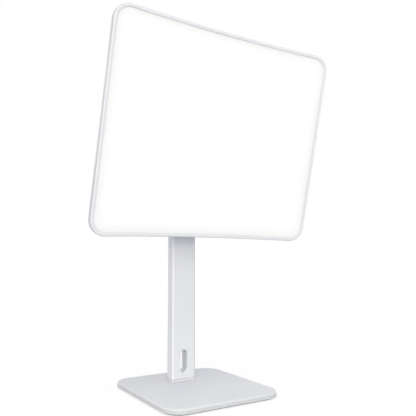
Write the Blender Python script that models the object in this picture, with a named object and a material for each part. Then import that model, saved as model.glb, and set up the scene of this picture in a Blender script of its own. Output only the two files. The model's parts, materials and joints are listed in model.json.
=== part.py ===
"""Light therapy lamp: a bowed, edge-lit panel on a height-adjustable post.

Metres, +Z up. The user sits at -Y and looks at the glowing face. The origin is the middle of the base, on the
table. The head is built in a frame of its own, whose origin is on the hinge axis, and is then tipped forward.
"""

import math

import bmesh
import bpy
from mathutils import Matrix, Vector

# Fits
SEAT_GAP = 0.0003
SLIDE_GAP = 0.0003
PIN_GAP = 0.00006
CUT_OVERRUN = 0.002
SAME_PLACE = 0.000001

# Shares: how far a screw's crown reaches over its head, and how squarely a face must look along an axis
CROWN_SHARE = 0.8
FACING_SHARE = 0.9

# Fineness of round shapes, as counts
CORNER_STEPS = 7
SMALL_CORNER_STEPS = 3
ROUND_STEPS = 3
TURN_STEPS = 20
SCREW_STEPS = 12
LOBE_STEPS = 6
VENT_END_STEPS = 2

# Base plate and pad
BASE_WIDTH = 0.2020
BASE_DEPTH = 0.2105
BASE_THICKNESS = 0.0075
BASE_CORNER_RADIUS = 0.0265
BASE_TOP_ROUND = 0.0020
BASE_UNDER_ROUND = 0.0008
PAD_THICKNESS = 0.0013
PAD_INSET = 0.0035
PAD_WINDOW_MARGIN = 0.003

# Post
POST_WIDTH = 0.0451
POST_DEPTH = 0.0197
POST_EDGE_RADIUS = 0.0024
POST_WALL = 0.0016
POST_BEHIND_CENTRE = 0.0429
COLLAR_FLARE = 0.0011
COLLAR_HEIGHT = 0.0040
COLLAR_LIP = 0.0006
BLOCK_HEIGHT = 0.0105
BASE_SCREW_SPACING = 0.024
BASE_SCREW_RADIUS = 0.0024
BASE_SCREW_HEAD_RADIUS = 0.0044
BASE_SCREW_HEAD_HEIGHT = 0.0028
BASE_SCREW_REACH = 0.0105
CAP_OVERHANG = 0.0022
CAP_THICKNESS = 0.003
CAP_ROUND = 0.0012
CAP_PLUG_DEPTH = 0.010

# Cable slot through the post and the two halves of its liner
SLOT_WIDTH = 0.0134
SLOT_HEIGHT = 0.0366
SLOT_RISE = 0.0322
LINER_WALL = 0.0014
LINER_LIP = 0.0018
LINER_PROUD = 0.0005
LINER_MOUTH_ROUND = 0.0022

# Carriage on the post
HINGE_HEIGHT = 0.4217
HINGE_REACH = 0.0612
SLEEVE_HEIGHT = 0.072
SLEEVE_WALL = 0.0034
SLEEVE_CORNER_RADIUS = 0.006
SLEEVE_RIM_ROUND = 0.0014
SLEEVE_BELOW_HINGE = 0.009
GLIDE_WALL = 0.0012
SLIDE_UP = 0.010
SLIDE_DOWN = 0.110
NECK_ROOT_WIDTH = 0.040
NECK_ROOT_HEIGHT = 0.056
NECK_CORNER_RADIUS = 0.007
NECK_STATIONS = 8
KNUCKLE_RADIUS = 0.011
KNUCKLE_WIDTH = 0.026
KNUCKLE_EDGE_ROUND = 0.0012
NECK_END_HEIGHT = 0.0190

# Height clamp at the back of the sleeve
CLAMP_BOSS_RADIUS = 0.0095
CLAMP_BOSS_LENGTH = 0.006
INSERT_RADIUS = 0.0046
INSERT_FLANGE_RADIUS = 0.0060
INSERT_FLANGE_THICKNESS = 0.0012
CLAMP_SCREW_RADIUS = 0.0030
SHOE_WIDTH = 0.016
SHOE_HEIGHT = 0.022
SHOE_THICKNESS = 0.0022
SHOE_CORNER_RADIUS = 0.003
KNOB_RADIUS = 0.0170
KNOB_LOBE = 0.0016
KNOB_LOBES = 6
KNOB_LENGTH = 0.013
KNOB_EDGE_ROUND = 0.0022
KNOB_HUB_RADIUS = 0.0085
KNOB_HUB_LENGTH = 0.004
KNOB_STANDOFF = 0.0022
KNOB_SCREW_DEPTH = 0.009
STOP_HEAD_RADIUS = 0.0036
STOP_HEAD_HEIGHT = 0.0024
STOP_SHANK_RADIUS = 0.0019
STOP_SHANK_LENGTH = 0.0060

# Hinge between neck and head
BOLT_RADIUS = 0.0030
BOLT_HEAD_RADIUS = 0.0055
BOLT_HEAD_HEIGHT = 0.0034
BOLT_THREAD_END = 0.0015
NUT_RADIUS = 0.0058
NUT_HEIGHT = 0.0050
WASHER_RADIUS = 0.0090
WASHER_THICKNESS = 0.0010
BRACKET_THICKNESS = 0.0025
BRACKET_WIDTH = 0.076
BRACKET_HEIGHT = 0.060
BRACKET_CORNER_RADIUS = 0.008
BRACKET_CLEARANCE = 0.003
EAR_RADIUS = 0.0112
BRACKET_SCREW_SPREAD = 0.058
BRACKET_SCREW_RISE = 0.042
BRACKET_SCREW_RADIUS = 0.0020
BRACKET_SCREW_HEAD_RADIUS = 0.0038
BRACKET_SCREW_HEAD_HEIGHT = 0.0022
NUT_PLATE_THICKNESS = 0.0024
NUT_PLATE_MARGIN = 0.006

# Head: outline and the stack of sheets in it, from the front
HEAD_WIDTH = 0.4064
HEAD_HEIGHT = 0.3344
HEAD_CORNER_RADIUS = 0.0266
HEAD_BOW = 0.0155
HEAD_TILT_DEGREES = 14.77
BOW_STEPS = 20
FRAME_FACE_WIDTH = 0.0060
FRAME_FRONT_ROUND = 0.0026
FRAME_BACK_ROUND = 0.0012
FRAME_LIP_THICKNESS = 0.0016
FRAME_LIP_ROUND = 0.0005
FRAME_WALL = 0.0020
DIFFUSER_THICKNESS = 0.0015
GUIDE_THICKNESS = 0.0030
REFLECTOR_THICKNESS = 0.0005
BACK_PANEL_THICKNESS = 0.0018

# Light bars at the two ends of the light guide
BAR_THICKNESS = 0.0010
BAR_END_MARGIN = 0.004
LIGHT_HEIGHT = 0.0007
LIGHT_LENGTH = 0.0035
LIGHT_PITCH = 0.0140
LIGHT_SIDE_MARGIN = 0.0004

# Housing on the back of the head, and what it holds
HOUSING_WIDTH = 0.164
HOUSING_HEIGHT = 0.116
HOUSING_DEPTH = 0.020
HOUSING_CORNER_RADIUS = 0.022
HOUSING_EDGE_ROUND = 0.0060
HOUSING_WALL = 0.0022
COLUMN_RADIUS = 0.0046
COLUMN_INSET = 0.017
HOUSING_SCREW_RADIUS = 0.0014
HOUSING_SCREW_HEAD_RADIUS = 0.0027
HOUSING_SCREW_HEAD_HEIGHT = 0.0018
HOUSING_SCREW_SUNK = 0.0060
PANEL_BOSS_RADIUS = 0.0034
PANEL_BOSS_HEIGHT = 0.0050
VENT_COUNT = 9
VENT_PITCH = 0.0080
VENT_WIDTH = 0.0026
VENT_LENGTH = 0.0095
BOARD_WIDTH = 0.098
BOARD_HEIGHT = 0.066
BOARD_THICKNESS = 0.0016
BOARD_CORNER_RADIUS = 0.002
BOARD_LEFT_SHIFT = 0.008
BOARD_RISE = 0.010
BOARD_SCREW_INSET = 0.005
BOARD_SCREW_RADIUS = 0.0012
BOARD_SCREW_HEAD_RADIUS = 0.0024
BOARD_SCREW_HEAD_HEIGHT = 0.0012
STANDOFF_RADIUS = 0.0026
STANDOFF_HEIGHT = 0.0040
INLET_FROM_SIDE = 0.036
INLET_BARREL_RADIUS = 0.0040
INLET_BORE_RADIUS = 0.0028
INLET_PIN_RADIUS = 0.0010
INLET_BORE_DEPTH = 0.0095
INLET_FLANGE_RADIUS = 0.0056
INLET_FLANGE_THICKNESS = 0.0014
INLET_BODY_LENGTH = 0.0125
SWITCH_FROM_SIDE = 0.026
SWITCH_RISE = -0.004
SWITCH_BODY_WIDTH = 0.0125
SWITCH_BODY_HEIGHT = 0.0195
SWITCH_BODY_DEPTH = 0.0110
SWITCH_FLANGE_MARGIN = 0.0016
SWITCH_FLANGE_THICKNESS = 0.0014
SWITCH_FLANGE_CORNER = 0.0015
SWITCH_WALL = 0.0013
ROCKER_GAP = 0.0004
ROCKER_PIVOT_DEPTH = 0.0022
ROCKER_PROUD = 0.0012
ROCKER_UNDERCUT = 0.0026
ROCKER_TIP_DEGREES = 8.0

# Places that follow from the sizes above
BASE_UNDERSIDE = PAD_THICKNESS + SEAT_GAP
BASE_TOP = BASE_UNDERSIDE + BASE_THICKNESS
POST_FOOT = BASE_TOP + SEAT_GAP
POST_FRONT = POST_BEHIND_CENTRE - POST_DEPTH / 2
POST_BACK = POST_BEHIND_CENTRE + POST_DEPTH / 2
SLEEVE_MIDDLE = HINGE_HEIGHT - SLEEVE_BELOW_HINGE
SLEEVE_TOP = SLEEVE_MIDDLE + SLEEVE_HEIGHT / 2
SLEEVE_BOTTOM = SLEEVE_MIDDLE - SLEEVE_HEIGHT / 2
POST_TOP = SLEEVE_TOP + SLIDE_UP + SEAT_GAP
SLOT_MIDDLE = POST_FOOT + SLOT_RISE
GLIDE_OFFSET = SLIDE_GAP + GLIDE_WALL
SLEEVE_BORE_OFFSET = GLIDE_OFFSET + SEAT_GAP
SLEEVE_OUTER_OFFSET = SLEEVE_BORE_OFFSET + SLEEVE_WALL
HINGE_PLACE = Vector((0, POST_FRONT - HINGE_REACH, HINGE_HEIGHT))
DIFFUSER_FRONT = FRAME_LIP_THICKNESS + SEAT_GAP
GUIDE_FRONT = DIFFUSER_FRONT + DIFFUSER_THICKNESS + SEAT_GAP
REFLECTOR_FRONT = GUIDE_FRONT + GUIDE_THICKNESS + SEAT_GAP
BACK_PANEL_FRONT = REFLECTOR_FRONT + REFLECTOR_THICKNESS + SEAT_GAP
HEAD_DEPTH = BACK_PANEL_FRONT + BACK_PANEL_THICKNESS
BRACKET_BACK = -(KNUCKLE_RADIUS + BRACKET_CLEARANCE)
HOUSING_BACK = BRACKET_BACK - BRACKET_THICKNESS - SEAT_GAP
HEAD_FRONT = HOUSING_BACK - HOUSING_DEPTH - HEAD_DEPTH - HEAD_BOW
EAR_INSIDE = KNUCKLE_WIDTH / 2 + SEAT_GAP + WASHER_THICKNESS + SEAT_GAP
EAR_OUTSIDE = EAR_INSIDE + BRACKET_THICKNESS
HOUSING_INSIDE = HOUSING_BACK - HOUSING_WALL
INLET_SHIFT = HOUSING_WIDTH / 2 - INLET_FROM_SIDE
SWITCH_SHIFT = HOUSING_WIDTH / 2 - SWITCH_FROM_SIDE

# How a flat outline lies in space: u and v in the outline's plane, w along its sweep
PLANES = {
    "XY": lambda u, v, w: (u, v, w),
    "XZ": lambda u, v, w: (u, w, v),
    "YZ": lambda u, v, w: (w, u, v),
}
TO_MINUS_Z = Matrix.Rotation(math.pi, 4, "X")
TO_PLUS_Y = Matrix.Rotation(-math.pi / 2, 4, "X")
TO_MINUS_Y = Matrix.Rotation(math.pi / 2, 4, "X")
TO_PLUS_X = Matrix.Rotation(math.pi / 2, 4, "Y")
TO_MINUS_X = Matrix.Rotation(-math.pi / 2, 4, "Y")


# Outlines

def rounded_rectangle(width, height, radius, steps=CORNER_STEPS):
    """Points of a rectangle with round corners, anticlockwise and centred on zero."""
    points = []
    for quarter, (side, end) in enumerate(((1, 1), (-1, 1), (-1, -1), (1, -1))):
        for step in range(steps + 1):
            angle = (quarter + step / steps) * math.pi / 2
            across = side * (width / 2 - radius) + radius * math.cos(angle)
            along = end * (height / 2 - radius) + radius * math.sin(angle)
            points.append((across, along))
    return points


def obround(width, height, steps=CORNER_STEPS):
    """Points of a slot with two round ends, anticlockwise and centred on zero."""
    points = []
    for end in (0, 1):
        for step in range(2 * steps + 1):
            angle = (end + step / (2 * steps)) * math.pi
            side = 1 if end == 0 else -1
            across = width / 2 * math.cos(angle)
            along = side * (height - width) / 2 + width / 2 * math.sin(angle)
            points.append((across, along))
    return points


def lobed_circle(radius, lobe, lobes, steps):
    """Points of a grip outline: a circle whose radius rises and falls with each lobe."""
    points = []
    for step in range(lobes * steps):
        angle = 2 * math.pi * step / (lobes * steps)
        reach = radius - lobe / 2 + lobe / 2 * math.cos(lobes * angle)
        points.append((reach * math.cos(angle), reach * math.sin(angle)))
    return points


def quarter_round(radius, steps=ROUND_STEPS):
    """Pairs (inset, drop) down a quarter circle, from the upper face to the side face."""
    pairs = []
    for step in range(steps + 1):
        angle = step / steps * math.pi / 2
        pairs.append((radius * (1 - math.sin(angle)), radius * (1 - math.cos(angle))))
    return pairs


# Solids

def prism(outline, low, high, plane="XY", centre=(0, 0)):
    """Sweep an outline from low to high."""
    bm = bmesh.new()
    place = PLANES[plane]
    verts = [bm.verts.new(place(u + centre[0], v + centre[1], low)) for u, v in outline]
    face = bm.faces.new(verts)
    swept = bmesh.ops.extrude_face_region(bm, geom=[face])["geom"]
    moved = [item for item in swept if isinstance(item, bmesh.types.BMVert)]
    bmesh.ops.translate(bm, verts=moved, vec=place(0, 0, high - low))
    bmesh.ops.recalc_face_normals(bm, faces=bm.faces)
    return bm


def loft(rings, plane="XY", closed=False):
    """Join outlines of equal length, each given with its place along the sweep.

    An open loft is capped at both ends. A closed one goes round and joins its last ring to its first.
    """
    bm = bmesh.new()
    place = PLANES[plane]
    loops = [[bm.verts.new(place(u, v, along)) for u, v in outline] for outline, along in rings]
    pairs = list(zip(loops, loops[1:]))
    if closed:
        pairs.append((loops[-1], loops[0]))
    for first, second in pairs:
        for index in range(len(first)):
            bm.faces.new((first[index - 1], first[index], second[index], second[index - 1]))
    if not closed:
        bm.faces.new(loops[0])
        bm.faces.new(loops[-1])
    bmesh.ops.recalc_face_normals(bm, faces=bm.faces)
    return bm


def turned(profile, steps=TURN_STEPS):
    """Turn a profile of (radius, height) pairs about Z. It starts and ends on the axis."""
    bm = bmesh.new()
    verts = [bm.verts.new((radius, 0, height)) for radius, height in profile]
    edges = [bm.edges.new(pair) for pair in zip(verts, verts[1:])]
    bmesh.ops.spin(
        bm, geom=verts + edges, cent=(0, 0, 0), axis=(0, 0, 1), angle=2 * math.pi, steps=steps, use_merge=True
    )
    bmesh.ops.remove_doubles(bm, verts=bm.verts, dist=SAME_PLACE)
    bmesh.ops.recalc_face_normals(bm, faces=bm.faces)
    return bm


def turned_ring(profile, steps=TURN_STEPS):
    """Turn a closed profile of (radius, height) pairs about Z."""
    bm = bmesh.new()
    verts = [bm.verts.new((radius, 0, height)) for radius, height in profile]
    edges = [bm.edges.new((verts[i - 1], verts[i])) for i in range(len(verts))]
    bmesh.ops.spin(
        bm, geom=verts + edges, cent=(0, 0, 0), axis=(0, 0, 1), angle=2 * math.pi, steps=steps, use_merge=True
    )
    bmesh.ops.remove_doubles(bm, verts=bm.verts, dist=SAME_PLACE)
    bmesh.ops.recalc_face_normals(bm, faces=bm.faces)
    return bm


def cylinder(radius, low, high, steps=TURN_STEPS):
    """A round bar about Z."""
    return turned(((0, low), (radius, low), (radius, high), (0, high)), steps)


def screw(head_radius, head_height, shank_radius, shank_length):
    """A screw about Z: its head above zero and its shank below."""
    profile = (
        (0, -shank_length),
        (shank_radius, -shank_length),
        (shank_radius, 0),
        (head_radius, 0),
        (head_radius, head_height / 2),
        (head_radius * CROWN_SHARE, head_height),
        (0, head_height),
    )
    return turned(profile, SCREW_STEPS)


def moved(bm, matrix=None, to=(0, 0, 0)):
    """Turn a bmesh and then shift it."""
    if matrix is not None:
        bm.transform(matrix)
    bmesh.ops.translate(bm, verts=bm.verts, vec=to)
    return bm


def pillar(radius, low, high, place, steps=SCREW_STEPS):
    """A round bar along Y, from low to high, at a place across and up."""
    return moved(cylinder(radius, low, high, steps), TO_PLUS_Y, (place[0], 0, place[1]))


# Objects and materials

def finish(name, color, roughness, metallic=0.0, glow=0.0):
    """A plain material of the piece's colour."""
    material = bpy.data.materials.new(name)
    material.use_nodes = True
    shader = material.node_tree.nodes["Principled BSDF"]
    shader.inputs["Base Color"].default_value = (*color, 1)
    shader.inputs["Roughness"].default_value = roughness
    shader.inputs["Metallic"].default_value = metallic
    shader.inputs["Emission Color"].default_value = (1, 1, 1, 1)
    shader.inputs["Emission Strength"].default_value = glow
    material.diffuse_color = (*color, 1)
    return material


def solid(name, bm):
    """Make an object of a bmesh."""
    mesh = bpy.data.meshes.new(name)
    bm.to_mesh(mesh)
    bm.free()
    obj = bpy.data.objects.new(name, mesh)
    bpy.context.scene.collection.objects.link(obj)
    return obj


def combine(obj, operation, *tools):
    """Cut, join or intersect an object with tool shapes, and use the tools up."""
    for bm in tools:
        tool = solid("tool", bm)
        modifier = obj.modifiers.new("combine", "BOOLEAN")
        modifier.operation = operation
        modifier.object = tool
        depsgraph = bpy.context.evaluated_depsgraph_get()
        result = bmesh.new()
        result.from_mesh(obj.evaluated_get(depsgraph).to_mesh())
        bmesh.ops.remove_doubles(result, verts=result.verts, dist=SAME_PLACE)
        obj.modifiers.clear()
        result.to_mesh(obj.data)
        result.free()
        used = tool.data
        bpy.data.objects.remove(tool)
        bpy.data.meshes.remove(used)
    return obj


def cut(obj, *tools):
    """Take tool shapes away from an object."""
    return combine(obj, "DIFFERENCE", *tools)


def join(obj, *tools):
    """Grow tool shapes onto an object."""
    return combine(obj, "UNION", *tools)


def dress(obj, material, parent=None):
    """Give an object its material and parent, and shade its round faces smooth."""
    obj.data.materials.clear()
    obj.data.materials.append(material)
    obj.data.shade_smooth()
    obj.data.set_sharp_from_angle(angle=math.radians(30))
    obj.parent = parent
    return obj


def pivot(name, place, parent=None, turn=0.0):
    """An empty on a joint's axis. Its place is given in its parent's frame."""
    empty = bpy.data.objects.new(name, None)
    bpy.context.scene.collection.objects.link(empty)
    empty.location = place
    empty.rotation_euler = (turn, 0, 0)
    empty.parent = parent
    return empty


# The head's bow

def bow(across):
    """How far the face lies behind the straight line through its two ends.

    The curve is a parabola, straight between stations, so that a flat strip stays flat.
    """
    step = HEAD_WIDTH / BOW_STEPS
    station = math.floor(across / step)
    share = across / step - station
    depths = [HEAD_BOW * (1 - (2 * place / BOW_STEPS) ** 2) for place in (station, station + 1)]
    return depths[0] * (1 - share) + depths[1] * share


def bend(bm):
    """Divide a flat piece at the bow's stations and give it the bow."""
    half = BOW_STEPS // 2
    for station in range(1 - half, half):
        everything = list(bm.verts) + list(bm.edges) + list(bm.faces)
        bmesh.ops.bisect_plane(
            bm,
            geom=everything,
            dist=SAME_PLACE,
            plane_co=(station * HEAD_WIDTH / BOW_STEPS, 0, 0),
            plane_no=(1, 0, 0),
        )
    for vert in bm.verts:
        vert.co.y += bow(vert.co.x)
    return bm


def head_outline(inset_across, inset_up=None):
    """The head's outline, drawn in by a distance from its edge."""
    inset_up = inset_across if inset_up is None else inset_up
    radius = HEAD_CORNER_RADIUS - min(inset_across, inset_up)
    return rounded_rectangle(HEAD_WIDTH - 2 * inset_across, HEAD_HEIGHT - 2 * inset_up, radius)


def head_sheet(inset_across, inset_up, front, thickness):
    """A bowed sheet that lies in the head's frame."""
    low = HEAD_FRONT + front
    return bend(prism(head_outline(inset_across, inset_up), low, low + thickness, "XZ"))


# Stand

def base_outline(inset):
    """The base's outline, drawn in by a distance from its edge."""
    return rounded_rectangle(BASE_WIDTH - 2 * inset, BASE_DEPTH - 2 * inset, BASE_CORNER_RADIUS - inset)


def base_screw_places():
    """Two screws side by side under the post."""
    return [(side * BASE_SCREW_SPACING / 2, POST_BEHIND_CENTRE) for side in (-1, 1)]


def post_outline(offset):
    """The post's section, grown by an offset, or shrunk where that is negative."""
    radius = max(POST_EDGE_RADIUS + offset, POST_EDGE_RADIUS - POST_WALL)
    return rounded_rectangle(POST_WIDTH + 2 * offset, POST_DEPTH + 2 * offset, radius, SMALL_CORNER_STEPS)


def shifted(outline, across=0.0, along=0.0):
    """An outline moved in its own plane."""
    return [(u + across, v + along) for u, v in outline]


def make_base(materials):
    """The plate has a round upper edge, a broken lower edge and two stepped screw holes from below."""
    rings = [(base_outline(BASE_UNDER_ROUND), BASE_UNDERSIDE)]
    rings.append((base_outline(0), BASE_UNDERSIDE + BASE_UNDER_ROUND))
    for inset, drop in reversed(quarter_round(BASE_TOP_ROUND)):
        rings.append((base_outline(inset), BASE_TOP - drop))
    plate = solid("base_plate", loft(rings))
    for place in base_screw_places():
        hole = cylinder(BASE_SCREW_RADIUS + SEAT_GAP, BASE_UNDERSIDE - CUT_OVERRUN, BASE_TOP + CUT_OVERRUN)
        sink = cylinder(
            BASE_SCREW_HEAD_RADIUS + SEAT_GAP,
            BASE_UNDERSIDE - CUT_OVERRUN,
            BASE_UNDERSIDE + BASE_SCREW_HEAD_HEIGHT + SEAT_GAP,
        )
        cut(plate, moved(hole, to=(*place, 0)), moved(sink, to=(*place, 0)))
    dress(plate, materials["painted steel"])

    window_width = BASE_SCREW_SPACING + 2 * (BASE_SCREW_HEAD_RADIUS + PAD_WINDOW_MARGIN)
    window_depth = 2 * (BASE_SCREW_HEAD_RADIUS + PAD_WINDOW_MARGIN)
    window = obround(window_depth, window_width)
    window = [(v, u + POST_BEHIND_CENTRE) for u, v in window]
    pad = solid("base_pad", prism(base_outline(PAD_INSET), 0, PAD_THICKNESS))
    cut(pad, prism(window, -CUT_OVERRUN, PAD_THICKNESS + CUT_OVERRUN))
    dress(pad, materials["pad"])

    for number, place in enumerate(base_screw_places(), 1):
        one = screw(BASE_SCREW_HEAD_RADIUS, BASE_SCREW_HEAD_HEIGHT, BASE_SCREW_RADIUS, BASE_SCREW_REACH)
        moved(one, TO_MINUS_Z, (*place, BASE_UNDERSIDE + BASE_SCREW_HEAD_HEIGHT))
        dress(solid(f"base_screw_{number}", one), materials["zinc"])


def liner_half(name, side, material):
    """Half of the slot's liner: a tube to the middle of the post, with a rounded lip on its face."""
    seat = POST_DEPTH / 2 + SEAT_GAP
    crown = seat + LINER_PROUD
    rings = [(0, SEAT_GAP / 2)]
    for inset, drop in reversed(quarter_round(LINER_MOUTH_ROUND)):
        rings.append((inset, crown - drop))
    for inset, drop in quarter_round(LINER_PROUD):
        rings.append((LINER_WALL + LINER_LIP - inset, crown - drop))
    rings.append((LINER_WALL, seat))
    rings.append((LINER_WALL, SEAT_GAP / 2))
    outlines = []
    for offset, along in rings:
        outline = obround(SLOT_WIDTH + 2 * offset, SLOT_HEIGHT + 2 * offset)
        outlines.append((shifted(outline, 0, SLOT_MIDDLE), POST_BEHIND_CENTRE + side * along))
    dress(solid(name, loft(outlines, "XZ", closed=True)), material)


def make_post(materials):
    """The post is a drawn tube. A slot for the cable goes through its front and back walls."""
    centre = (0, POST_BEHIND_CENTRE)
    post = solid("post", prism(post_outline(0), POST_FOOT, POST_TOP, centre=centre))
    bore = prism(post_outline(-POST_WALL), POST_FOOT - CUT_OVERRUN, POST_TOP + CUT_OVERRUN, centre=centre)
    slot = obround(
        SLOT_WIDTH + 2 * (LINER_WALL + SEAT_GAP),
        SLOT_HEIGHT + 2 * (LINER_WALL + SEAT_GAP),
    )
    through = prism(slot, POST_FRONT - CUT_OVERRUN, POST_BACK + CUT_OVERRUN, "XZ", (0, SLOT_MIDDLE))
    stop_hole = cylinder(STOP_SHANK_RADIUS + SEAT_GAP, 0, POST_DEPTH / 2 + CUT_OVERRUN, SCREW_STEPS)
    cut(post, bore, through, moved(stop_hole, TO_PLUS_Y, (0, POST_BEHIND_CENTRE, stop_height())))
    dress(post, materials["painted post"])
    liner_half("slot_liner_front", -1, materials["white plastic"])
    liner_half("slot_liner_back", 1, materials["white plastic"])

    collar = []
    outer = ((COLLAR_FLARE, 0), (COLLAR_FLARE, COLLAR_LIP), (COLLAR_LIP + SEAT_GAP, COLLAR_HEIGHT))
    for offset, rise in (*outer, (SEAT_GAP, COLLAR_HEIGHT), (SEAT_GAP, 0)):
        collar.append((shifted(post_outline(offset), *centre), POST_FOOT + rise))
    dress(solid("foot_collar", loft(collar, closed=True)), materials["white plastic"])

    block_outline = shifted(post_outline(-POST_WALL - SEAT_GAP), *centre)
    block = solid("foot_block", prism(block_outline, POST_FOOT, POST_FOOT + BLOCK_HEIGHT))
    reach = BASE_SCREW_REACH + BASE_SCREW_HEAD_HEIGHT + BASE_UNDERSIDE + SEAT_GAP
    for place in base_screw_places():
        hole = cylinder(BASE_SCREW_RADIUS + SEAT_GAP, POST_FOOT - CUT_OVERRUN, reach, SCREW_STEPS)
        cut(block, moved(hole, to=(*place, 0)))
    dress(block, materials["zinc"])

    plug = shifted(post_outline(-POST_WALL - SEAT_GAP), *centre)
    flange_low = POST_TOP + SEAT_GAP
    flange_top = flange_low + CAP_THICKNESS
    rings = [(plug, POST_TOP - CAP_PLUG_DEPTH), (plug, flange_low)]
    rings.append((shifted(post_outline(CAP_OVERHANG), *centre), flange_low))
    for inset, drop in reversed(quarter_round(CAP_ROUND)):
        rings.append((shifted(post_outline(CAP_OVERHANG - inset), *centre), flange_top - drop))
    dress(solid("post_cap", loft(rings)), materials["white plastic"])

    stop = screw(STOP_HEAD_RADIUS, STOP_HEAD_HEIGHT, STOP_SHANK_RADIUS, STOP_SHANK_LENGTH)
    moved(stop, TO_PLUS_Y, (0, POST_BACK + SEAT_GAP, stop_height()))
    dress(solid("stop_screw", stop), materials["zinc"])


def stop_height():
    """The stop screw meets the sleeve's lower edge at the bottom of the travel."""
    return SLEEVE_BOTTOM - SLIDE_DOWN - SEAT_GAP - STOP_HEAD_RADIUS


# Carriage, built round the post's centre line, with zero at the sleeve's middle height

def ease(share):
    """A smooth step from 0 to 1."""
    share = min(max(share, 0), 1)
    return share * share * (3 - 2 * share)


def neck():
    """The neck narrows from its root on the sleeve to the width of the knuckle."""
    hinge = -POST_DEPTH / 2 - HINGE_REACH
    root = -POST_DEPTH / 2 - SLEEVE_BORE_OFFSET - SLEEVE_WALL / 2
    straight = EAR_RADIUS + BRACKET_CLEARANCE
    rings = []
    for station in range(NECK_STATIONS + 1):
        share = station / NECK_STATIONS
        along = hinge + (root - hinge) * share
        widening = ease((along - hinge - straight) / (root - hinge - straight))
        end_width = KNUCKLE_WIDTH - 2 * KNUCKLE_EDGE_ROUND
        width = end_width + (NECK_ROOT_WIDTH - end_width) * widening
        height = NECK_END_HEIGHT + (NECK_ROOT_HEIGHT - NECK_END_HEIGHT) * ease(share)
        radius = NECK_CORNER_RADIUS * (1 + share) / 2
        outline = rounded_rectangle(width, height, radius, SMALL_CORNER_STEPS)
        rings.append((shifted(outline, 0, SLEEVE_BELOW_HINGE * (1 - ease(share))), along))
    return loft(rings, "XZ")


def knuckle():
    """The round end of the neck that turns between the bracket's ears."""
    half = KNUCKLE_WIDTH / 2
    edge = KNUCKLE_EDGE_ROUND
    profile = (
        (0, -half),
        (KNUCKLE_RADIUS - edge, -half),
        (KNUCKLE_RADIUS, edge - half),
        (KNUCKLE_RADIUS, half - edge),
        (KNUCKLE_RADIUS - edge, half),
        (0, half),
    )
    return turned(profile)


def clamp_faces():
    """Places along the clamp's axis, measured back from the post's centre line."""
    shoe_back = POST_DEPTH / 2 + SLIDE_GAP + SHOE_THICKNESS
    boss_back = POST_DEPTH / 2 + SLEEVE_OUTER_OFFSET + CLAMP_BOSS_LENGTH
    return shoe_back, boss_back


def shoe_outline(offset):
    """The clamp shoe's outline, grown by an offset for the pocket that holds it."""
    width = SHOE_WIDTH + 2 * offset
    height = SHOE_HEIGHT + 2 * offset
    return rounded_rectangle(width, height, SHOE_CORNER_RADIUS + offset, SMALL_CORNER_STEPS)


def make_carriage(materials, parent):
    """A cast sleeve with a neck in front and a boss for the clamp behind."""
    half = SLEEVE_HEIGHT / 2
    outer_width = POST_WIDTH + 2 * SLEEVE_OUTER_OFFSET
    outer_depth = POST_DEPTH + 2 * SLEEVE_OUTER_OFFSET

    def sleeve_outline(inset):
        radius = SLEEVE_CORNER_RADIUS - inset
        return rounded_rectangle(outer_width - 2 * inset, outer_depth - 2 * inset, radius, SMALL_CORNER_STEPS)

    rounds = quarter_round(SLEEVE_RIM_ROUND)
    rings = [(sleeve_outline(inset), drop - half) for inset, drop in rounds]
    rings += [(sleeve_outline(inset), half - drop) for inset, drop in reversed(rounds)]
    carriage = solid("carriage", loft(rings))
    hinge_line = (0, -POST_DEPTH / 2 - HINGE_REACH, SLEEVE_BELOW_HINGE)
    shoe_back, boss_back = clamp_faces()
    boss = cylinder(CLAMP_BOSS_RADIUS, POST_DEPTH / 2 + SLEEVE_BORE_OFFSET + SLEEVE_WALL / 2, boss_back)
    join(carriage, neck(), moved(knuckle(), TO_PLUS_X, hinge_line), moved(boss, TO_PLUS_Y))

    bore = prism(post_outline(SLEEVE_BORE_OFFSET), -half - CUT_OVERRUN, half + CUT_OVERRUN)
    bolt_hole = cylinder(BOLT_RADIUS + PIN_GAP, -KNUCKLE_WIDTH, KNUCKLE_WIDTH)
    pocket_outline = shoe_outline(SEAT_GAP)
    pocket = prism(pocket_outline, 0, shoe_back + SEAT_GAP, "XZ")
    insert_hole = cylinder(INSERT_RADIUS + SEAT_GAP, shoe_back - CUT_OVERRUN, boss_back + CUT_OVERRUN)
    flange_low = boss_back - INSERT_FLANGE_THICKNESS - SEAT_GAP
    flange_seat = cylinder(INSERT_FLANGE_RADIUS + SEAT_GAP, flange_low, boss_back + CUT_OVERRUN)
    cut(carriage, bore, moved(bolt_hole, TO_PLUS_X, hinge_line), pocket)
    cut(carriage, moved(insert_hole, TO_PLUS_Y), moved(flange_seat, TO_PLUS_Y))
    dress(carriage, materials["painted casting"], parent)

    liner = solid("glide_liner", prism(post_outline(GLIDE_OFFSET), -half, half))
    cut(liner, prism(post_outline(SLIDE_GAP), -half - CUT_OVERRUN, half + CUT_OVERRUN))
    cut(liner, prism(pocket_outline, 0, shoe_back + CUT_OVERRUN, "XZ"))
    dress(liner, materials["grey plastic"], parent)

    shoe = prism(shoe_outline(0), shoe_back - SHOE_THICKNESS, shoe_back, "XZ")
    dress(solid("clamp_shoe", shoe), materials["grey plastic"], parent)

    tube_low = shoe_back + 2 * SEAT_GAP
    bore_radius = CLAMP_SCREW_RADIUS + PIN_GAP
    rings = (
        (bore_radius, tube_low),
        (INSERT_RADIUS, tube_low),
        (INSERT_RADIUS, flange_low + SEAT_GAP),
        (INSERT_FLANGE_RADIUS, flange_low + SEAT_GAP),
        (INSERT_FLANGE_RADIUS, boss_back),
        (bore_radius, boss_back),
    )
    insert = turned_ring(rings)
    dress(solid("thread_insert", moved(insert, TO_PLUS_Y)), materials["brass"], parent)


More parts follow.
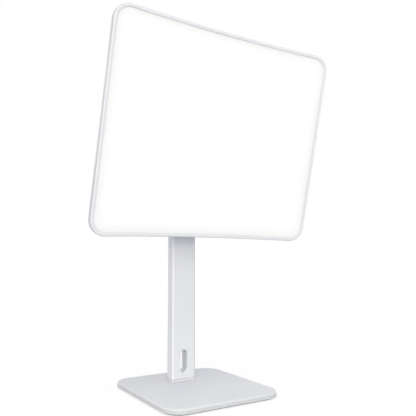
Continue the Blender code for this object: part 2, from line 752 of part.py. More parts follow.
def make_clamp(materials, screw_parent, knob_parent):
    """The knob is moulded round the end of its screw. Zero is on the post's centre line."""
    shoe_back, boss_back = clamp_faces()
    hub_low = boss_back + KNOB_STANDOFF
    grip_low = hub_low + KNOB_HUB_LENGTH
    grip_high = grip_low + KNOB_LENGTH
    screw_end = hub_low + KNOB_SCREW_DEPTH
    stud = cylinder(CLAMP_SCREW_RADIUS, shoe_back + SEAT_GAP, screw_end)
    dress(solid("clamp_screw", moved(stud, TO_PLUS_Y)), materials["zinc"], screw_parent)

    rounds = quarter_round(KNOB_EDGE_ROUND)
    rings = []
    for inset, drop in rounds:
        rings.append((lobed_circle(KNOB_RADIUS - inset, KNOB_LOBE, KNOB_LOBES, LOBE_STEPS), grip_low + drop))
    for inset, drop in reversed(rounds):
        rings.append((lobed_circle(KNOB_RADIUS - inset, KNOB_LOBE, KNOB_LOBES, LOBE_STEPS), grip_high - drop))
    knob = solid("clamp_knob", loft(rings))
    join(knob, cylinder(KNOB_HUB_RADIUS, hub_low, grip_low + KNOB_EDGE_ROUND))
    cut(knob, cylinder(CLAMP_SCREW_RADIUS + SEAT_GAP, hub_low - CUT_OVERRUN, screw_end + SEAT_GAP))
    knob.data.transform(TO_PLUS_Y)
    dress(knob, materials["grey plastic"], knob_parent)


# Head, built with its zero on the hinge axis

def make_frame(materials, parent):
    """The front frame is a C section swept round the outline, with its lip in front of the diffuser."""
    section = []
    for inset, drop in reversed(quarter_round(FRAME_FRONT_ROUND)):
        section.append((inset, drop))
    for inset, drop in quarter_round(FRAME_LIP_ROUND, 1):
        section.append((FRAME_FACE_WIDTH - inset, drop))
    section += [(FRAME_FACE_WIDTH, FRAME_LIP_THICKNESS), (FRAME_WALL, FRAME_LIP_THICKNESS)]
    section.append((FRAME_WALL, HEAD_DEPTH))
    section += [(FRAME_BACK_ROUND, HEAD_DEPTH), (0, HEAD_DEPTH - FRAME_BACK_ROUND)]
    rings = [(head_outline(inset), HEAD_FRONT + depth) for inset, depth in section]
    dress(solid("front_bezel", bend(loft(rings, "XZ", closed=True))), materials["white frame"], parent)


def make_sheets(materials, parent):
    """Diffuser, light guide and reflector lie behind each other in the frame."""
    fit = FRAME_WALL + SEAT_GAP
    guide_inset = fit + BAR_THICKNESS + LIGHT_HEIGHT + SEAT_GAP
    sheets = (
        ("diffuser", fit, DIFFUSER_FRONT, DIFFUSER_THICKNESS, "diffuser"),
        ("light_guide", guide_inset, GUIDE_FRONT, GUIDE_THICKNESS, "clear acrylic"),
        ("reflector_sheet", guide_inset, REFLECTOR_FRONT, REFLECTOR_THICKNESS, "white film"),
    )
    for name, inset_across, front, thickness, material in sheets:
        sheet = head_sheet(inset_across, fit, front, thickness)
        dress(solid(name, sheet), materials[material], parent)


def inner_side(bm, side):
    """Faces of a light bar that look at the middle of the head."""
    return [face for face in bm.faces if -face.normal.x * side > FACING_SHARE]


def divide_inner_side(bm, side, place, direction):
    """Cut a bar's inner side along a plane and leave its other sides whole."""
    faces = inner_side(bm, side)
    edges = {edge for face in faces for edge in face.edges}
    verts = {vert for face in faces for vert in face.verts}
    geometry = list(verts) + list(edges) + faces
    bmesh.ops.bisect_plane(bm, geom=geometry, dist=SAME_PLACE, plane_co=place, plane_no=direction)


def light_bar(side):
    """A circuit strip with a row of lights on the face that looks at the light guide."""
    outer = HEAD_WIDTH / 2 - FRAME_WALL - SEAT_GAP
    half = HEAD_HEIGHT / 2 - HEAD_CORNER_RADIUS - BAR_END_MARGIN
    count = int((2 * half - LIGHT_LENGTH) / LIGHT_PITCH)
    middle = HEAD_FRONT + GUIDE_FRONT + GUIDE_THICKNESS / 2
    strip_depth = GUIDE_THICKNESS + REFLECTOR_THICKNESS + SEAT_GAP
    front = HEAD_FRONT + GUIDE_FRONT
    bm = bmesh.new()
    bmesh.ops.create_cube(bm, size=1)
    bmesh.ops.scale(bm, verts=bm.verts, vec=(BAR_THICKNESS, strip_depth, 2 * half))
    place = (side * (outer - BAR_THICKNESS / 2), front + strip_depth / 2, 0)
    bmesh.ops.translate(bm, verts=bm.verts, vec=place)
    bm.normal_update()
    for index in range(count + 1):
        centre = (index - count / 2) * LIGHT_PITCH
        for edge in (-1, 1):
            divide_inner_side(bm, side, (0, 0, centre + edge * LIGHT_LENGTH / 2), (0, 0, 1))
    for depth in (-1, 1):
        line = middle + depth * (GUIDE_THICKNESS / 2 - LIGHT_SIDE_MARGIN)
        divide_inner_side(bm, side, (0, line, 0), (0, 1, 0))
    lights = []
    for face in inner_side(bm, side):
        centre = face.calc_center_median()
        if abs(centre.y - middle) > LIGHT_SIDE_MARGIN:
            continue
        nearest = round(centre.z / LIGHT_PITCH + count / 2)
        if abs(centre.z - (nearest - count / 2) * LIGHT_PITCH) < LIGHT_SIDE_MARGIN:
            lights.append(face)
    for face in lights:
        raised = bmesh.ops.extrude_face_region(bm, geom=[face])["geom"]
        verts = [item for item in raised if isinstance(item, bmesh.types.BMVert)]
        bmesh.ops.translate(bm, verts=verts, vec=(-side * LIGHT_HEIGHT, 0, 0))
        bm.faces.remove(face)
    bmesh.ops.recalc_face_normals(bm, faces=bm.faces)
    return bend(bm)


def back_surface(across):
    """Place of the back panel's rear surface at a distance from the middle."""
    return HEAD_FRONT + HEAD_DEPTH + bow(across)


def column_places():
    """Four columns near the housing's corners take its screws."""
    across = HOUSING_WIDTH / 2 - COLUMN_INSET
    up = HOUSING_HEIGHT / 2 - COLUMN_INSET
    return [(side * across, end * up) for side in (-1, 1) for end in (-1, 1)]


def board_screw_places():
    """Four screws near the board's corners."""
    across = BOARD_WIDTH / 2 - BOARD_SCREW_INSET
    up = BOARD_HEIGHT / 2 - BOARD_SCREW_INSET
    return [(side * across - BOARD_LEFT_SHIFT, end * up + BOARD_RISE) for side in (-1, 1) for end in (-1, 1)]


def board_front():
    """The board lies on its standoffs, clear of the bowed panel."""
    return back_surface(0) + STANDOFF_HEIGHT


def make_back_panel(materials, parent):
    """The back panel carries round bosses for the housing's screws and standoffs for the board."""
    fit = FRAME_WALL + SEAT_GAP
    panel = solid("back_panel", head_sheet(fit, fit, BACK_PANEL_FRONT, BACK_PANEL_THICKNESS))
    sink = BACK_PANEL_THICKNESS / 2
    for place in column_places():
        low = back_surface(place[0])
        top = low + PANEL_BOSS_HEIGHT
        join(panel, pillar(PANEL_BOSS_RADIUS, low - sink, top, place))
        cut(panel, pillar(HOUSING_SCREW_RADIUS + SEAT_GAP, low, top + CUT_OVERRUN, place))
    for place in board_screw_places():
        low = back_surface(place[0])
        top = board_front() - SEAT_GAP
        join(panel, pillar(STANDOFF_RADIUS, low - sink, top, place))
        cut(panel, pillar(BOARD_SCREW_RADIUS + SEAT_GAP, low, top + CUT_OVERRUN, place))
    dress(panel, materials["white frame"], parent)


def housing_outline(inset):
    """The housing's outline, drawn in by a distance, or grown where that is negative."""
    width = HOUSING_WIDTH - 2 * inset
    height = HOUSING_HEIGHT - 2 * inset
    return rounded_rectangle(width, height, HOUSING_CORNER_RADIUS - inset)


def inlet_middle():
    """The inlet sits half way down the housing's depth."""
    return HOUSING_BACK - HOUSING_DEPTH / 2


def vents():
    """Slots through the housing's upper and lower walls. The lower row leaves room for the inlet."""
    slots = []
    for end in (-1, 1):
        wall = end * HOUSING_HEIGHT / 2
        walls = sorted((wall - end * (HOUSING_WALL + CUT_OVERRUN), wall + end * CUT_OVERRUN))
        for index in range(VENT_COUNT):
            across = (index - (VENT_COUNT - 1) / 2) * VENT_PITCH
            if end < 0 and abs(across + INLET_SHIFT) < INLET_FLANGE_RADIUS + VENT_PITCH:
                continue
            outline = obround(VENT_WIDTH, VENT_LENGTH, VENT_END_STEPS)
            slots.append(prism(outline, *walls, centre=(across, inlet_middle())))
    return slots


def make_housing(materials, parent):
    """A moulded box with a rounded back edge. Its open side follows the bowed back panel."""
    rings = [(housing_outline(0), HEAD_FRONT)]
    for inset, drop in reversed(quarter_round(HOUSING_EDGE_ROUND)):
        rings.append((housing_outline(inset), HOUSING_BACK - drop))
    housing = solid("rear_housing", loft(rings, "XZ"))
    inner = [(housing_outline(HOUSING_WALL), HEAD_FRONT - CUT_OVERRUN)]
    for inset, drop in reversed(quarter_round(HOUSING_EDGE_ROUND - HOUSING_WALL)):
        inner.append((housing_outline(HOUSING_WALL + inset), HOUSING_INSIDE - drop))
    cut(housing, loft(inner, "XZ"))
    for place in column_places():
        join(housing, pillar(COLUMN_RADIUS, HEAD_FRONT, HOUSING_BACK - HOUSING_WALL / 2, place))

    panel_low = HEAD_FRONT - HEAD_BOW - CUT_OVERRUN
    panel_block = prism(housing_outline(-CUT_OVERRUN), panel_low, HEAD_FRONT + HEAD_DEPTH + SEAT_GAP, "XZ")
    cut(housing, bend(panel_block))

    for place in column_places():
        seat = HOUSING_BACK - HOUSING_SCREW_SUNK
        boss_top = back_surface(place[0]) + PANEL_BOSS_HEIGHT
        well = pillar(HOUSING_SCREW_HEAD_RADIUS + SEAT_GAP, seat, HOUSING_BACK + CUT_OVERRUN, place)
        hole = pillar(HOUSING_SCREW_RADIUS + SEAT_GAP, boss_top - CUT_OVERRUN, seat + CUT_OVERRUN, place)
        socket = pillar(PANEL_BOSS_RADIUS + SEAT_GAP, HEAD_FRONT, boss_top + SEAT_GAP, place)
        cut(housing, well, hole, socket)

    wall_low = HOUSING_INSIDE - CUT_OVERRUN
    wall_high = HOUSING_BACK + CUT_OVERRUN
    for place in bracket_screw_places():
        cut(housing, pillar(BRACKET_SCREW_RADIUS + SEAT_GAP, wall_low, wall_high, place))
    cut(housing, *vents())
    inlet_hole = cylinder(INLET_BARREL_RADIUS + SEAT_GAP, 0, HOUSING_HEIGHT)
    cut(housing, moved(inlet_hole, TO_MINUS_Z, (-INLET_SHIFT, inlet_middle(), 0)))
    window = rounded_rectangle(
        SWITCH_BODY_WIDTH + 2 * SEAT_GAP,
        SWITCH_BODY_HEIGHT + 2 * SEAT_GAP,
        SWITCH_FLANGE_CORNER,
        SMALL_CORNER_STEPS,
    )
    cut(housing, prism(window, wall_low, wall_high, "XZ", (SWITCH_SHIFT, SWITCH_RISE)))
    dress(housing, materials["white plastic"], parent)

    for number, place in enumerate(column_places(), 1):
        seat = HOUSING_BACK - HOUSING_SCREW_SUNK + SEAT_GAP
        reach = seat - back_surface(place[0]) - SEAT_GAP
        one = screw(HOUSING_SCREW_HEAD_RADIUS, HOUSING_SCREW_HEAD_HEIGHT, HOUSING_SCREW_RADIUS, reach)
        moved(one, TO_PLUS_Y, (place[0], seat, place[1]))
        dress(solid(f"housing_screw_{number}", one), materials["zinc"], parent)


def make_board(materials, parent):
    """Driver board with its coil, capacitors and connectors standing on it."""
    front = board_front()
    back = front + BOARD_THICKNESS
    centre = (-BOARD_LEFT_SHIFT, BOARD_RISE)
    outline = rounded_rectangle(BOARD_WIDTH, BOARD_HEIGHT, BOARD_CORNER_RADIUS, SMALL_CORNER_STEPS)
    board = solid("driver_board", prism(outline, front, back, "XZ", centre))
    room = HOUSING_INSIDE - NUT_PLATE_THICKNESS - back - 2 * SEAT_GAP
    # Each row: place across and up from the board's middle, width and height, as shares of the board's
    # width and height, and how tall it stands, as a share of the room behind the board
    block_shares = (
        (-0.36, 0.22, 0.16, 0.26, 0.9),
        (-0.34, -0.24, 0.14, 0.18, 0.75),
        (0.05, 0.10, 0.20, 0.30, 0.45),
        (0.36, 0.24, 0.10, 0.22, 0.6),
    )
    can_shares = ((-0.12, -0.26, 0.045, 0.9), (0.02, -0.26, 0.045, 0.9), (0.17, -0.28, 0.035, 0.7))
    root = back - BOARD_THICKNESS / 2
    for across, up, width, height, tall in block_shares:
        corner = BOARD_CORNER_RADIUS / 2
        block = rounded_rectangle(BOARD_WIDTH * width, BOARD_HEIGHT * height, corner, SMALL_CORNER_STEPS)
        place = (centre[0] + BOARD_WIDTH * across, centre[1] + BOARD_HEIGHT * up)
        join(board, prism(block, root, back + room * tall, "XZ", place))
    for across, up, radius, tall in can_shares:
        place = (centre[0] + BOARD_WIDTH * across, centre[1] + BOARD_HEIGHT * up)
        join(board, pillar(BOARD_WIDTH * radius, root, back + room * tall, place))
    for number, place in enumerate(board_screw_places(), 1):
        cut(board, pillar(BOARD_SCREW_RADIUS + SEAT_GAP, front - CUT_OVERRUN, back + CUT_OVERRUN, place))
        reach = back - back_surface(place[0])
        one = screw(BOARD_SCREW_HEAD_RADIUS, BOARD_SCREW_HEAD_HEIGHT, BOARD_SCREW_RADIUS, reach)
        moved(one, TO_PLUS_Y, (place[0], back + SEAT_GAP, place[1]))
        dress(solid(f"board_screw_{number}", one), materials["zinc"], parent)
    dress(board, materials["board"], parent)


def make_inlet(materials, parent):
    """Low-voltage socket in the housing's lower wall: a flanged barrel with a pin in its bore."""
    wall_outside = HOUSING_HEIGHT / 2
    face = wall_outside + SEAT_GAP + INLET_FLANGE_THICKNESS
    low = wall_outside - INLET_BODY_LENGTH
    bore_end = face - INLET_BORE_DEPTH
    pin_end = face - INLET_FLANGE_THICKNESS
    inlet = turned(
        (
            (0, low),
            (INLET_BARREL_RADIUS, low),
            (INLET_BARREL_RADIUS, wall_outside + SEAT_GAP),
            (INLET_FLANGE_RADIUS, wall_outside + SEAT_GAP),
            (INLET_FLANGE_RADIUS, face),
            (INLET_BORE_RADIUS, face),
            (INLET_BORE_RADIUS, bore_end),
            (INLET_PIN_RADIUS, bore_end),
            (INLET_PIN_RADIUS, pin_end),
            (0, pin_end),
        )
    )
    moved(inlet, TO_MINUS_Z, (-INLET_SHIFT, inlet_middle(), 0))
    dress(solid("power_inlet", inlet), materials["black plastic"], parent)


def rocker_reach():
    """Radius of the rocker's round ends about its pivot."""
    return SWITCH_BODY_HEIGHT / 2 - SWITCH_WALL - ROCKER_GAP


def make_switch(materials, parent, rocker_parent):
    """Snap-in switch: a frame with a flange, and a rocker that tips about its middle."""
    flange_back = HOUSING_BACK + SEAT_GAP + SWITCH_FLANGE_THICKNESS
    centre = (SWITCH_SHIFT, SWITCH_RISE)
    body_corner = SWITCH_FLANGE_CORNER - SEAT_GAP
    body = rounded_rectangle(SWITCH_BODY_WIDTH, SWITCH_BODY_HEIGHT, body_corner, SMALL_CORNER_STEPS)
    flange = rounded_rectangle(
        SWITCH_BODY_WIDTH + 2 * SWITCH_FLANGE_MARGIN,
        SWITCH_BODY_HEIGHT + 2 * SWITCH_FLANGE_MARGIN,
        body_corner + SWITCH_FLANGE_MARGIN,
        SMALL_CORNER_STEPS,
    )
    rings = [(body, HOUSING_BACK - SWITCH_BODY_DEPTH), (body, HOUSING_BACK + SEAT_GAP)]
    rings += [(flange, HOUSING_BACK + SEAT_GAP), (flange, flange_back)]
    placed = [(shifted(outline, *centre), along) for outline, along in rings]
    frame = solid("switch_frame", loft(placed, "XZ"))
    hollow = rounded_rectangle(
        SWITCH_BODY_WIDTH - 2 * SWITCH_WALL,
        SWITCH_BODY_HEIGHT - 2 * SWITCH_WALL,
        ROCKER_GAP,
        SMALL_CORNER_STEPS,
    )
    hollow_low = HOUSING_BACK - SWITCH_BODY_DEPTH + SWITCH_WALL
    cut(frame, prism(hollow, hollow_low, flange_back + CUT_OVERRUN, "XZ", centre))
    dress(frame, materials["black plastic"], parent)

    tip = math.radians(ROCKER_TIP_DEGREES)
    reach = rocker_reach()
    face = ROCKER_PIVOT_DEPTH + ROCKER_PROUD
    end_angle = math.asin(face / reach)
    foot_angle = -math.asin(ROCKER_UNDERCUT / reach)
    profile = [(face - reach * math.tan(tip) / 2, 0)]
    arc = [end_angle + (foot_angle - end_angle) * step / ROUND_STEPS for step in range(ROUND_STEPS + 1)]
    profile += [(reach * math.sin(angle), reach * math.cos(angle)) for angle in arc]
    profile += [(reach * math.sin(angle), -reach * math.cos(angle)) for angle in reversed(arc)]
    half = SWITCH_BODY_WIDTH / 2 - SWITCH_WALL - ROCKER_GAP
    rocker = prism(profile, -half, half, "YZ")
    dress(solid("switch_rocker", rocker), materials["black plastic"], rocker_parent)


def bracket_screw_places():
    """Four screws near the bracket plate's corners."""
    across = BRACKET_SCREW_SPREAD / 2
    up = BRACKET_SCREW_RISE / 2
    return [(side * across, end * up) for side in (-1, 1) for end in (-1, 1)]


def ear(side):
    """One ear of the bracket: a strap with a round end about the hinge axis."""
    outline = []
    for step in range(2 * CORNER_STEPS + 1):
        angle = step / (2 * CORNER_STEPS) * math.pi
        outline.append((EAR_RADIUS * math.sin(angle), EAR_RADIUS * math.cos(angle)))
    root = BRACKET_BACK - BRACKET_THICKNESS / 2
    outline += [(root, -EAR_RADIUS), (root, EAR_RADIUS)]
    low = min(side * EAR_INSIDE, side * EAR_OUTSIDE)
    return prism(outline, low, low + BRACKET_THICKNESS, "YZ")


def make_bracket(materials, parent):
    """A bent steel bracket: a plate on the housing and two ears that hold the knuckle."""
    outline = rounded_rectangle(BRACKET_WIDTH, BRACKET_HEIGHT, BRACKET_CORNER_RADIUS)
    plate = prism(outline, BRACKET_BACK - BRACKET_THICKNESS, BRACKET_BACK, "XZ")
    bracket = solid("hinge_bracket", plate)
    join(bracket, ear(-1), ear(1))
    bolt_hole = cylinder(BOLT_RADIUS + PIN_GAP, -BRACKET_WIDTH / 2, BRACKET_WIDTH / 2)
    cut(bracket, moved(bolt_hole, TO_PLUS_X))
    hole_low = BRACKET_BACK - BRACKET_THICKNESS - CUT_OVERRUN
    for place in bracket_screw_places():
        cut(bracket, pillar(BRACKET_SCREW_RADIUS + SEAT_GAP, hole_low, BRACKET_BACK + CUT_OVERRUN, place))
    dress(bracket, materials["painted casting"], parent)

    plate_outline = rounded_rectangle(
        BRACKET_SCREW_SPREAD + 2 * NUT_PLATE_MARGIN,
        BRACKET_SCREW_RISE + 2 * NUT_PLATE_MARGIN,
        NUT_PLATE_MARGIN,
        SMALL_CORNER_STEPS,
    )
    plate_back = HOUSING_INSIDE - SEAT_GAP
    plate_front = plate_back - NUT_PLATE_THICKNESS
    nut_plate = solid("nut_plate", prism(plate_outline, plate_front, plate_back, "XZ"))
    head_seat = BRACKET_BACK + SEAT_GAP
    reach = head_seat - plate_front
    for number, place in enumerate(bracket_screw_places(), 1):
        radius = BRACKET_SCREW_RADIUS + SEAT_GAP
        cut(nut_plate, pillar(radius, plate_front - CUT_OVERRUN, plate_back + CUT_OVERRUN, place))
        one = screw(BRACKET_SCREW_HEAD_RADIUS, BRACKET_SCREW_HEAD_HEIGHT, BRACKET_SCREW_RADIUS, reach)
        moved(one, TO_PLUS_Y, (place[0], head_seat, place[1]))
        dress(solid(f"bracket_screw_{number}", one), materials["zinc"], parent)
    dress(nut_plate, materials["zinc"], parent)


def make_hinge(materials, parent):
    """Bolt, friction washers and lock nut along the hinge axis."""
    head_seat = EAR_OUTSIDE + SEAT_GAP
    far_end = EAR_OUTSIDE + SEAT_GAP + NUT_HEIGHT + BOLT_THREAD_END
    bolt = screw(BOLT_HEAD_RADIUS, BOLT_HEAD_HEIGHT, BOLT_RADIUS, head_seat + far_end)
    bmesh.ops.translate(bolt, verts=bolt.verts, vec=(0, 0, head_seat))
    dress(solid("hinge_bolt", moved(bolt, TO_PLUS_X)), materials["zinc"], parent)
    low = KNUCKLE_WIDTH / 2 + SEAT_GAP
    high = low + WASHER_THICKNESS
    bore = BOLT_RADIUS + PIN_GAP
    for side, turn in (("left", TO_MINUS_X), ("right", TO_PLUS_X)):
        washer = turned_ring(((bore, low), (WASHER_RADIUS, low), (WASHER_RADIUS, high), (bore, high)))
        dress(solid(f"hinge_washer_{side}", moved(washer, turn)), materials["zinc"], parent)
    corners = [side * math.pi / 3 for side in range(6)]
    hexagon = [(NUT_RADIUS * math.cos(angle), NUT_RADIUS * math.sin(angle)) for angle in corners]
    nut = solid("hinge_nut", prism(hexagon, head_seat, head_seat + NUT_HEIGHT))
    cut(nut, cylinder(BOLT_RADIUS + PIN_GAP, head_seat - CUT_OVERRUN, head_seat + NUT_HEIGHT + CUT_OVERRUN))
    nut.data.transform(TO_MINUS_X)
    dress(nut, materials["zinc"], parent)


def make_materials():
    """Colours as they are, roughness and metal of each finish."""
    return {
        "painted steel": finish("painted_steel", (0.74, 0.75, 0.77), 0.45),
        "painted post": finish("painted_post", (0.76, 0.77, 0.79), 0.40),
        "painted casting": finish("painted_casting", (0.72, 0.73, 0.75), 0.50),
        "white frame": finish("white_frame", (0.84, 0.84, 0.86), 0.40),
        "white plastic": finish("white_plastic", (0.78, 0.78, 0.80), 0.45),
        "grey plastic": finish("grey_plastic", (0.42, 0.43, 0.45), 0.50),
        "black plastic": finish("black_plastic", (0.03, 0.03, 0.03), 0.40),
        "diffuser": finish("milky_diffuser", (0.95, 0.95, 0.95), 0.35, glow=1.0),
        "clear acrylic": finish("clear_acrylic", (0.86, 0.90, 0.92), 0.10),
        "white film": finish("white_film", (0.92, 0.92, 0.92), 0.60),
        "light strip": finish("light_strip", (0.88, 0.86, 0.70), 0.50),
        "board": finish("green_board", (0.05, 0.22, 0.10), 0.50),
        "pad": finish("foam_pad", (0.06, 0.06, 0.065), 0.85),
        "zinc": finish("zinc_steel", (0.62, 0.63, 0.65), 0.35, metallic=1.0),
        "brass": finish("brass", (0.78, 0.60, 0.32), 0.30, metallic=1.0),
    }


def main():
    """Build the whole lamp in an empty scene."""
    for obj in list(bpy.data.objects):
        bpy.data.objects.remove(obj)
    materials = make_materials()
    make_base(materials)
    make_post(materials)

    carriage = pivot("carriage_slide", (0, POST_BEHIND_CENTRE, SLEEVE_MIDDLE))
    make_carriage(materials, carriage)
    make_clamp(materials, pivot("clamp_axis", (0, 0, 0), carriage), pivot("knob_axis", (0, 0, 0), carriage))

    hinge = HINGE_PLACE - carriage.location
    head = pivot("head_hinge", hinge, carriage, math.radians(HEAD_TILT_DEGREES))
    make_frame(materials, head)
    make_sheets(materials, head)
    for name, side in (("led_bar_left", -1), ("led_bar_right", 1)):
        dress(solid(name, light_bar(side)), materials["light strip"], head)
    make_back_panel(materials, head)
    make_housing(materials, head)
    make_board(materials, head)
    make_inlet(materials, head)
    flange_back = HOUSING_BACK + SEAT_GAP + SWITCH_FLANGE_THICKNESS
    rocker_place = (SWITCH_SHIFT, flange_back - ROCKER_PIVOT_DEPTH, SWITCH_RISE)
    rocker = pivot("rocker_axis", rocker_place, head, math.radians(ROCKER_TIP_DEGREES))
    make_switch(materials, head, rocker)
    make_bracket(materials, head)
    make_hinge(materials, head)
    bpy.context.view_layer.update()


main()
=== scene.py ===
# %% [markdown]
# # A light therapy lamp in its finish
#
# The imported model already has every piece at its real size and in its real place. This script gives the
# lamp its looks. It puts finely rounded pieces where the plain solids are coarse, gives every surface a
# material made of nodes, and sets up the floor, the light and the camera.
#
# The first step loads the model. Each of its nodes is an object that sits at the origin with its place in
# its mesh, so sizes and places can be read from the vertices and nothing has to be fitted by eye.

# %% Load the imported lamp
import json
import math

import bmesh
import bpy
from mathutils import Matrix, Vector

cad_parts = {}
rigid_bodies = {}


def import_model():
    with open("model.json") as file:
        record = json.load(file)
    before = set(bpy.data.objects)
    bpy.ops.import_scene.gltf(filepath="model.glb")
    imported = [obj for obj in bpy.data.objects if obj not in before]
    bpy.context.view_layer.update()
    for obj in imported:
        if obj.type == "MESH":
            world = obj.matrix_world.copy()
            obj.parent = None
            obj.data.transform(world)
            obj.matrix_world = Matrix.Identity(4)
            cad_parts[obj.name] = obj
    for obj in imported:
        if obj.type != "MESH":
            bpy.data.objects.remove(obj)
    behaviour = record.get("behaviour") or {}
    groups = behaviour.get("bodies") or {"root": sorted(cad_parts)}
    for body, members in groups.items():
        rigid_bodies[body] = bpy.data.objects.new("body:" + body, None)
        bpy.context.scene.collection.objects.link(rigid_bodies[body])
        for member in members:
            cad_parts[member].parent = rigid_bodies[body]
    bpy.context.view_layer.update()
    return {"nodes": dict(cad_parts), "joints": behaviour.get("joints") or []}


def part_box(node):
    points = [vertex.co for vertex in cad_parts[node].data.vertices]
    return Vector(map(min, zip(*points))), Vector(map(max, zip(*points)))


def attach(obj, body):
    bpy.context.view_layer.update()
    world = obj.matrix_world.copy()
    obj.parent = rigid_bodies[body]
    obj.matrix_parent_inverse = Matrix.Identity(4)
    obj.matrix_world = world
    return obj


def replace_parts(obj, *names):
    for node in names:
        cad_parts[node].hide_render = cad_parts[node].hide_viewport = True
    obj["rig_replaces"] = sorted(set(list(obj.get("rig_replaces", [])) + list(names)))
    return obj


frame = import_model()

scene = bpy.context.scene

# %% [markdown]
# ## Camera
#
# The photograph was taken from the lamp's left, a little below the middle of the panel, with the camera
# tipped up. Its place, angles and focal length were worked out once from the lamp's straight edges. The
# photograph was also cropped off centre, which the lens shift repeats.

# %% Camera at the photograph's viewpoint
IMAGE_SIDE = 416
FOCAL_PIXELS = 493.40
OPTICAL_CENTRE_PIXELS = (192.66, 185.12)
CAMERA_PLACE = (-0.43798, -0.72389, 0.21372)
CAMERA_YAW = math.radians(-31.01)
CAMERA_PITCH = math.radians(8.49)

camera_data = bpy.data.cameras.new("camera")
camera_data.sensor_width = 36
camera_data.lens = camera_data.sensor_width * FOCAL_PIXELS / IMAGE_SIDE
camera_data.shift_x = (IMAGE_SIDE / 2 - OPTICAL_CENTRE_PIXELS[0]) / IMAGE_SIDE
camera_data.shift_y = (OPTICAL_CENTRE_PIXELS[1] - IMAGE_SIDE / 2) / IMAGE_SIDE
camera_data.clip_start = 0.05
camera = bpy.data.objects.new("camera", camera_data)
camera.location = CAMERA_PLACE
camera.rotation_euler = (math.pi / 2 + CAMERA_PITCH, 0, CAMERA_YAW)
scene.collection.objects.link(camera)
scene.camera = camera
scene.view_settings.view_transform = "Standard"
print("lens:", round(camera_data.lens, 2), "mm")

# %% [markdown]
# ## Node helpers
#
# The world, the floor and every finish are trees of nodes. Placing and linking each node by hand takes many
# lines that say little, so a few helpers add a node, fill its inputs with values or links, and give back the
# socket that the next node needs. What is left reads like a formula.

# %% Helpers that add, fill and link nodes


def put(tree, socket, value):
    """Fills an input with the output of another node, with a colour or with a plain value."""
    if isinstance(value, bpy.types.NodeSocket):
        tree.links.new(value, socket)
    elif socket.type == "RGBA":
        socket.default_value = (*value, 1)
    else:
        socket.default_value = value


def add(tree, kind, inputs=(), **settings):
    """Adds a node, sets its properties and fills its inputs, which are given by name or number."""
    node = tree.nodes.new("ShaderNode" + kind)
    for key, value in settings.items():
        setattr(node, key, value)
    for target, value in dict(inputs).items():
        put(tree, node.inputs[target], value)
    return node


def maths(tree, operation, *values, clamp=False):
    """A Math node on sockets and numbers."""
    return add(tree, "Math", enumerate(values), operation=operation, use_clamp=clamp).outputs[0]


def vector_maths(tree, operation, *values):
    """A Vector Math node on sockets and tuples."""
    node = add(tree, "VectorMath", enumerate(values), operation=operation)
    return node.outputs["Value" if operation in ("LENGTH", "DOT_PRODUCT") else "Vector"]


def mixed(tree, factor, first, second):
    """A colour between two colours."""
    return add(tree, "Mix", {0: factor, 6: first, 7: second}, data_type="RGBA").outputs[2]


def fade(tree, value, span, results=(0.0, 1.0)):
    """A soft step: from the first result to the second one as a value crosses a span."""
    labels = ("Value", "From Min", "From Max", "To Min", "To Max")
    inputs = zip(labels, (value, *span, *results))
    return add(tree, "MapRange", inputs, interpolation_type="SMOOTHSTEP").outputs["Result"]


def looked_at(tree):
    """A value of 1 where a camera ray, a reflection or a ray through glass meets the surface."""
    path = add(tree, "LightPath").outputs
    either = maths(tree, "MAXIMUM", path["Is Camera Ray"], path["Is Glossy Ray"])
    return maths(tree, "MAXIMUM", either, path["Is Transmission Ray"])


print("node helpers are ready")

# %% [markdown]
# ## Background
#
# The lamp stands on white, as in a catalogue. The background is a world that is plain white where the
# camera, a mirror-like surface or a clear one looks at it, and that lights the lamp at a lower level. That
# light leans a little towards the front and is cooler there, because the shadows in the photo are bluish.

# %% A white world
WORLD_LEVEL = 0.77
WORLD_LEAN = 0.22
FRONT_TINT = (0.82, 0.915, 1.0)
BACK_TINT = (0.95, 0.97, 1.0)

world = bpy.data.worlds.new("white studio")
scene.world = world
world.use_nodes = True
tree = world.node_tree
tree.nodes.clear()
backwards = add(tree, "SeparateXYZ", {0: add(tree, "TexCoord").outputs["Generated"]}).outputs["Y"]
strength = maths(tree, "MULTIPLY_ADD", backwards, -WORLD_LEVEL * WORLD_LEAN, WORLD_LEVEL)
behind = add(tree, "MapRange", {"Value": backwards, "From Min": -1.0})
tint = mixed(tree, behind.outputs["Result"], FRONT_TINT, BACK_TINT)
light = add(tree, "Background", {"Color": tint, "Strength": strength})
seen = add(tree, "Background", {"Color": (1, 1, 1)})
mix = add(tree, "MixShader", {"Fac": looked_at(tree), 1: light.outputs[0], 2: seen.outputs[0]})
add(tree, "OutputWorld", {"Surface": mix.outputs[0]})
print("world nodes:", len(tree.nodes))

# %% [markdown]
# ## Floor
#
# The floor does the same with its own shader. Near the lamp it keeps a share of its own shading, so a soft
# shadow still shows, and that share fades with the distance until no horizon can be seen.

# %% A floor that keeps the shadow
FLOOR_COLOUR = (0.54, 0.545, 0.56)
FLOOR_WHITENESS = (0.92, 1.0)
FLOOR_REACH = (0.16, 0.70)
FLOOR_GLOW = 1.035
FLOOR_SIZE = 60.0


def as_object(name, bm):
    """Links an object that has the bmesh as its mesh, and frees the bmesh."""
    mesh = bpy.data.meshes.new(name)
    bm.to_mesh(mesh)
    bm.free()
    obj = bpy.data.objects.new(name, mesh)
    scene.collection.objects.link(obj)
    return obj


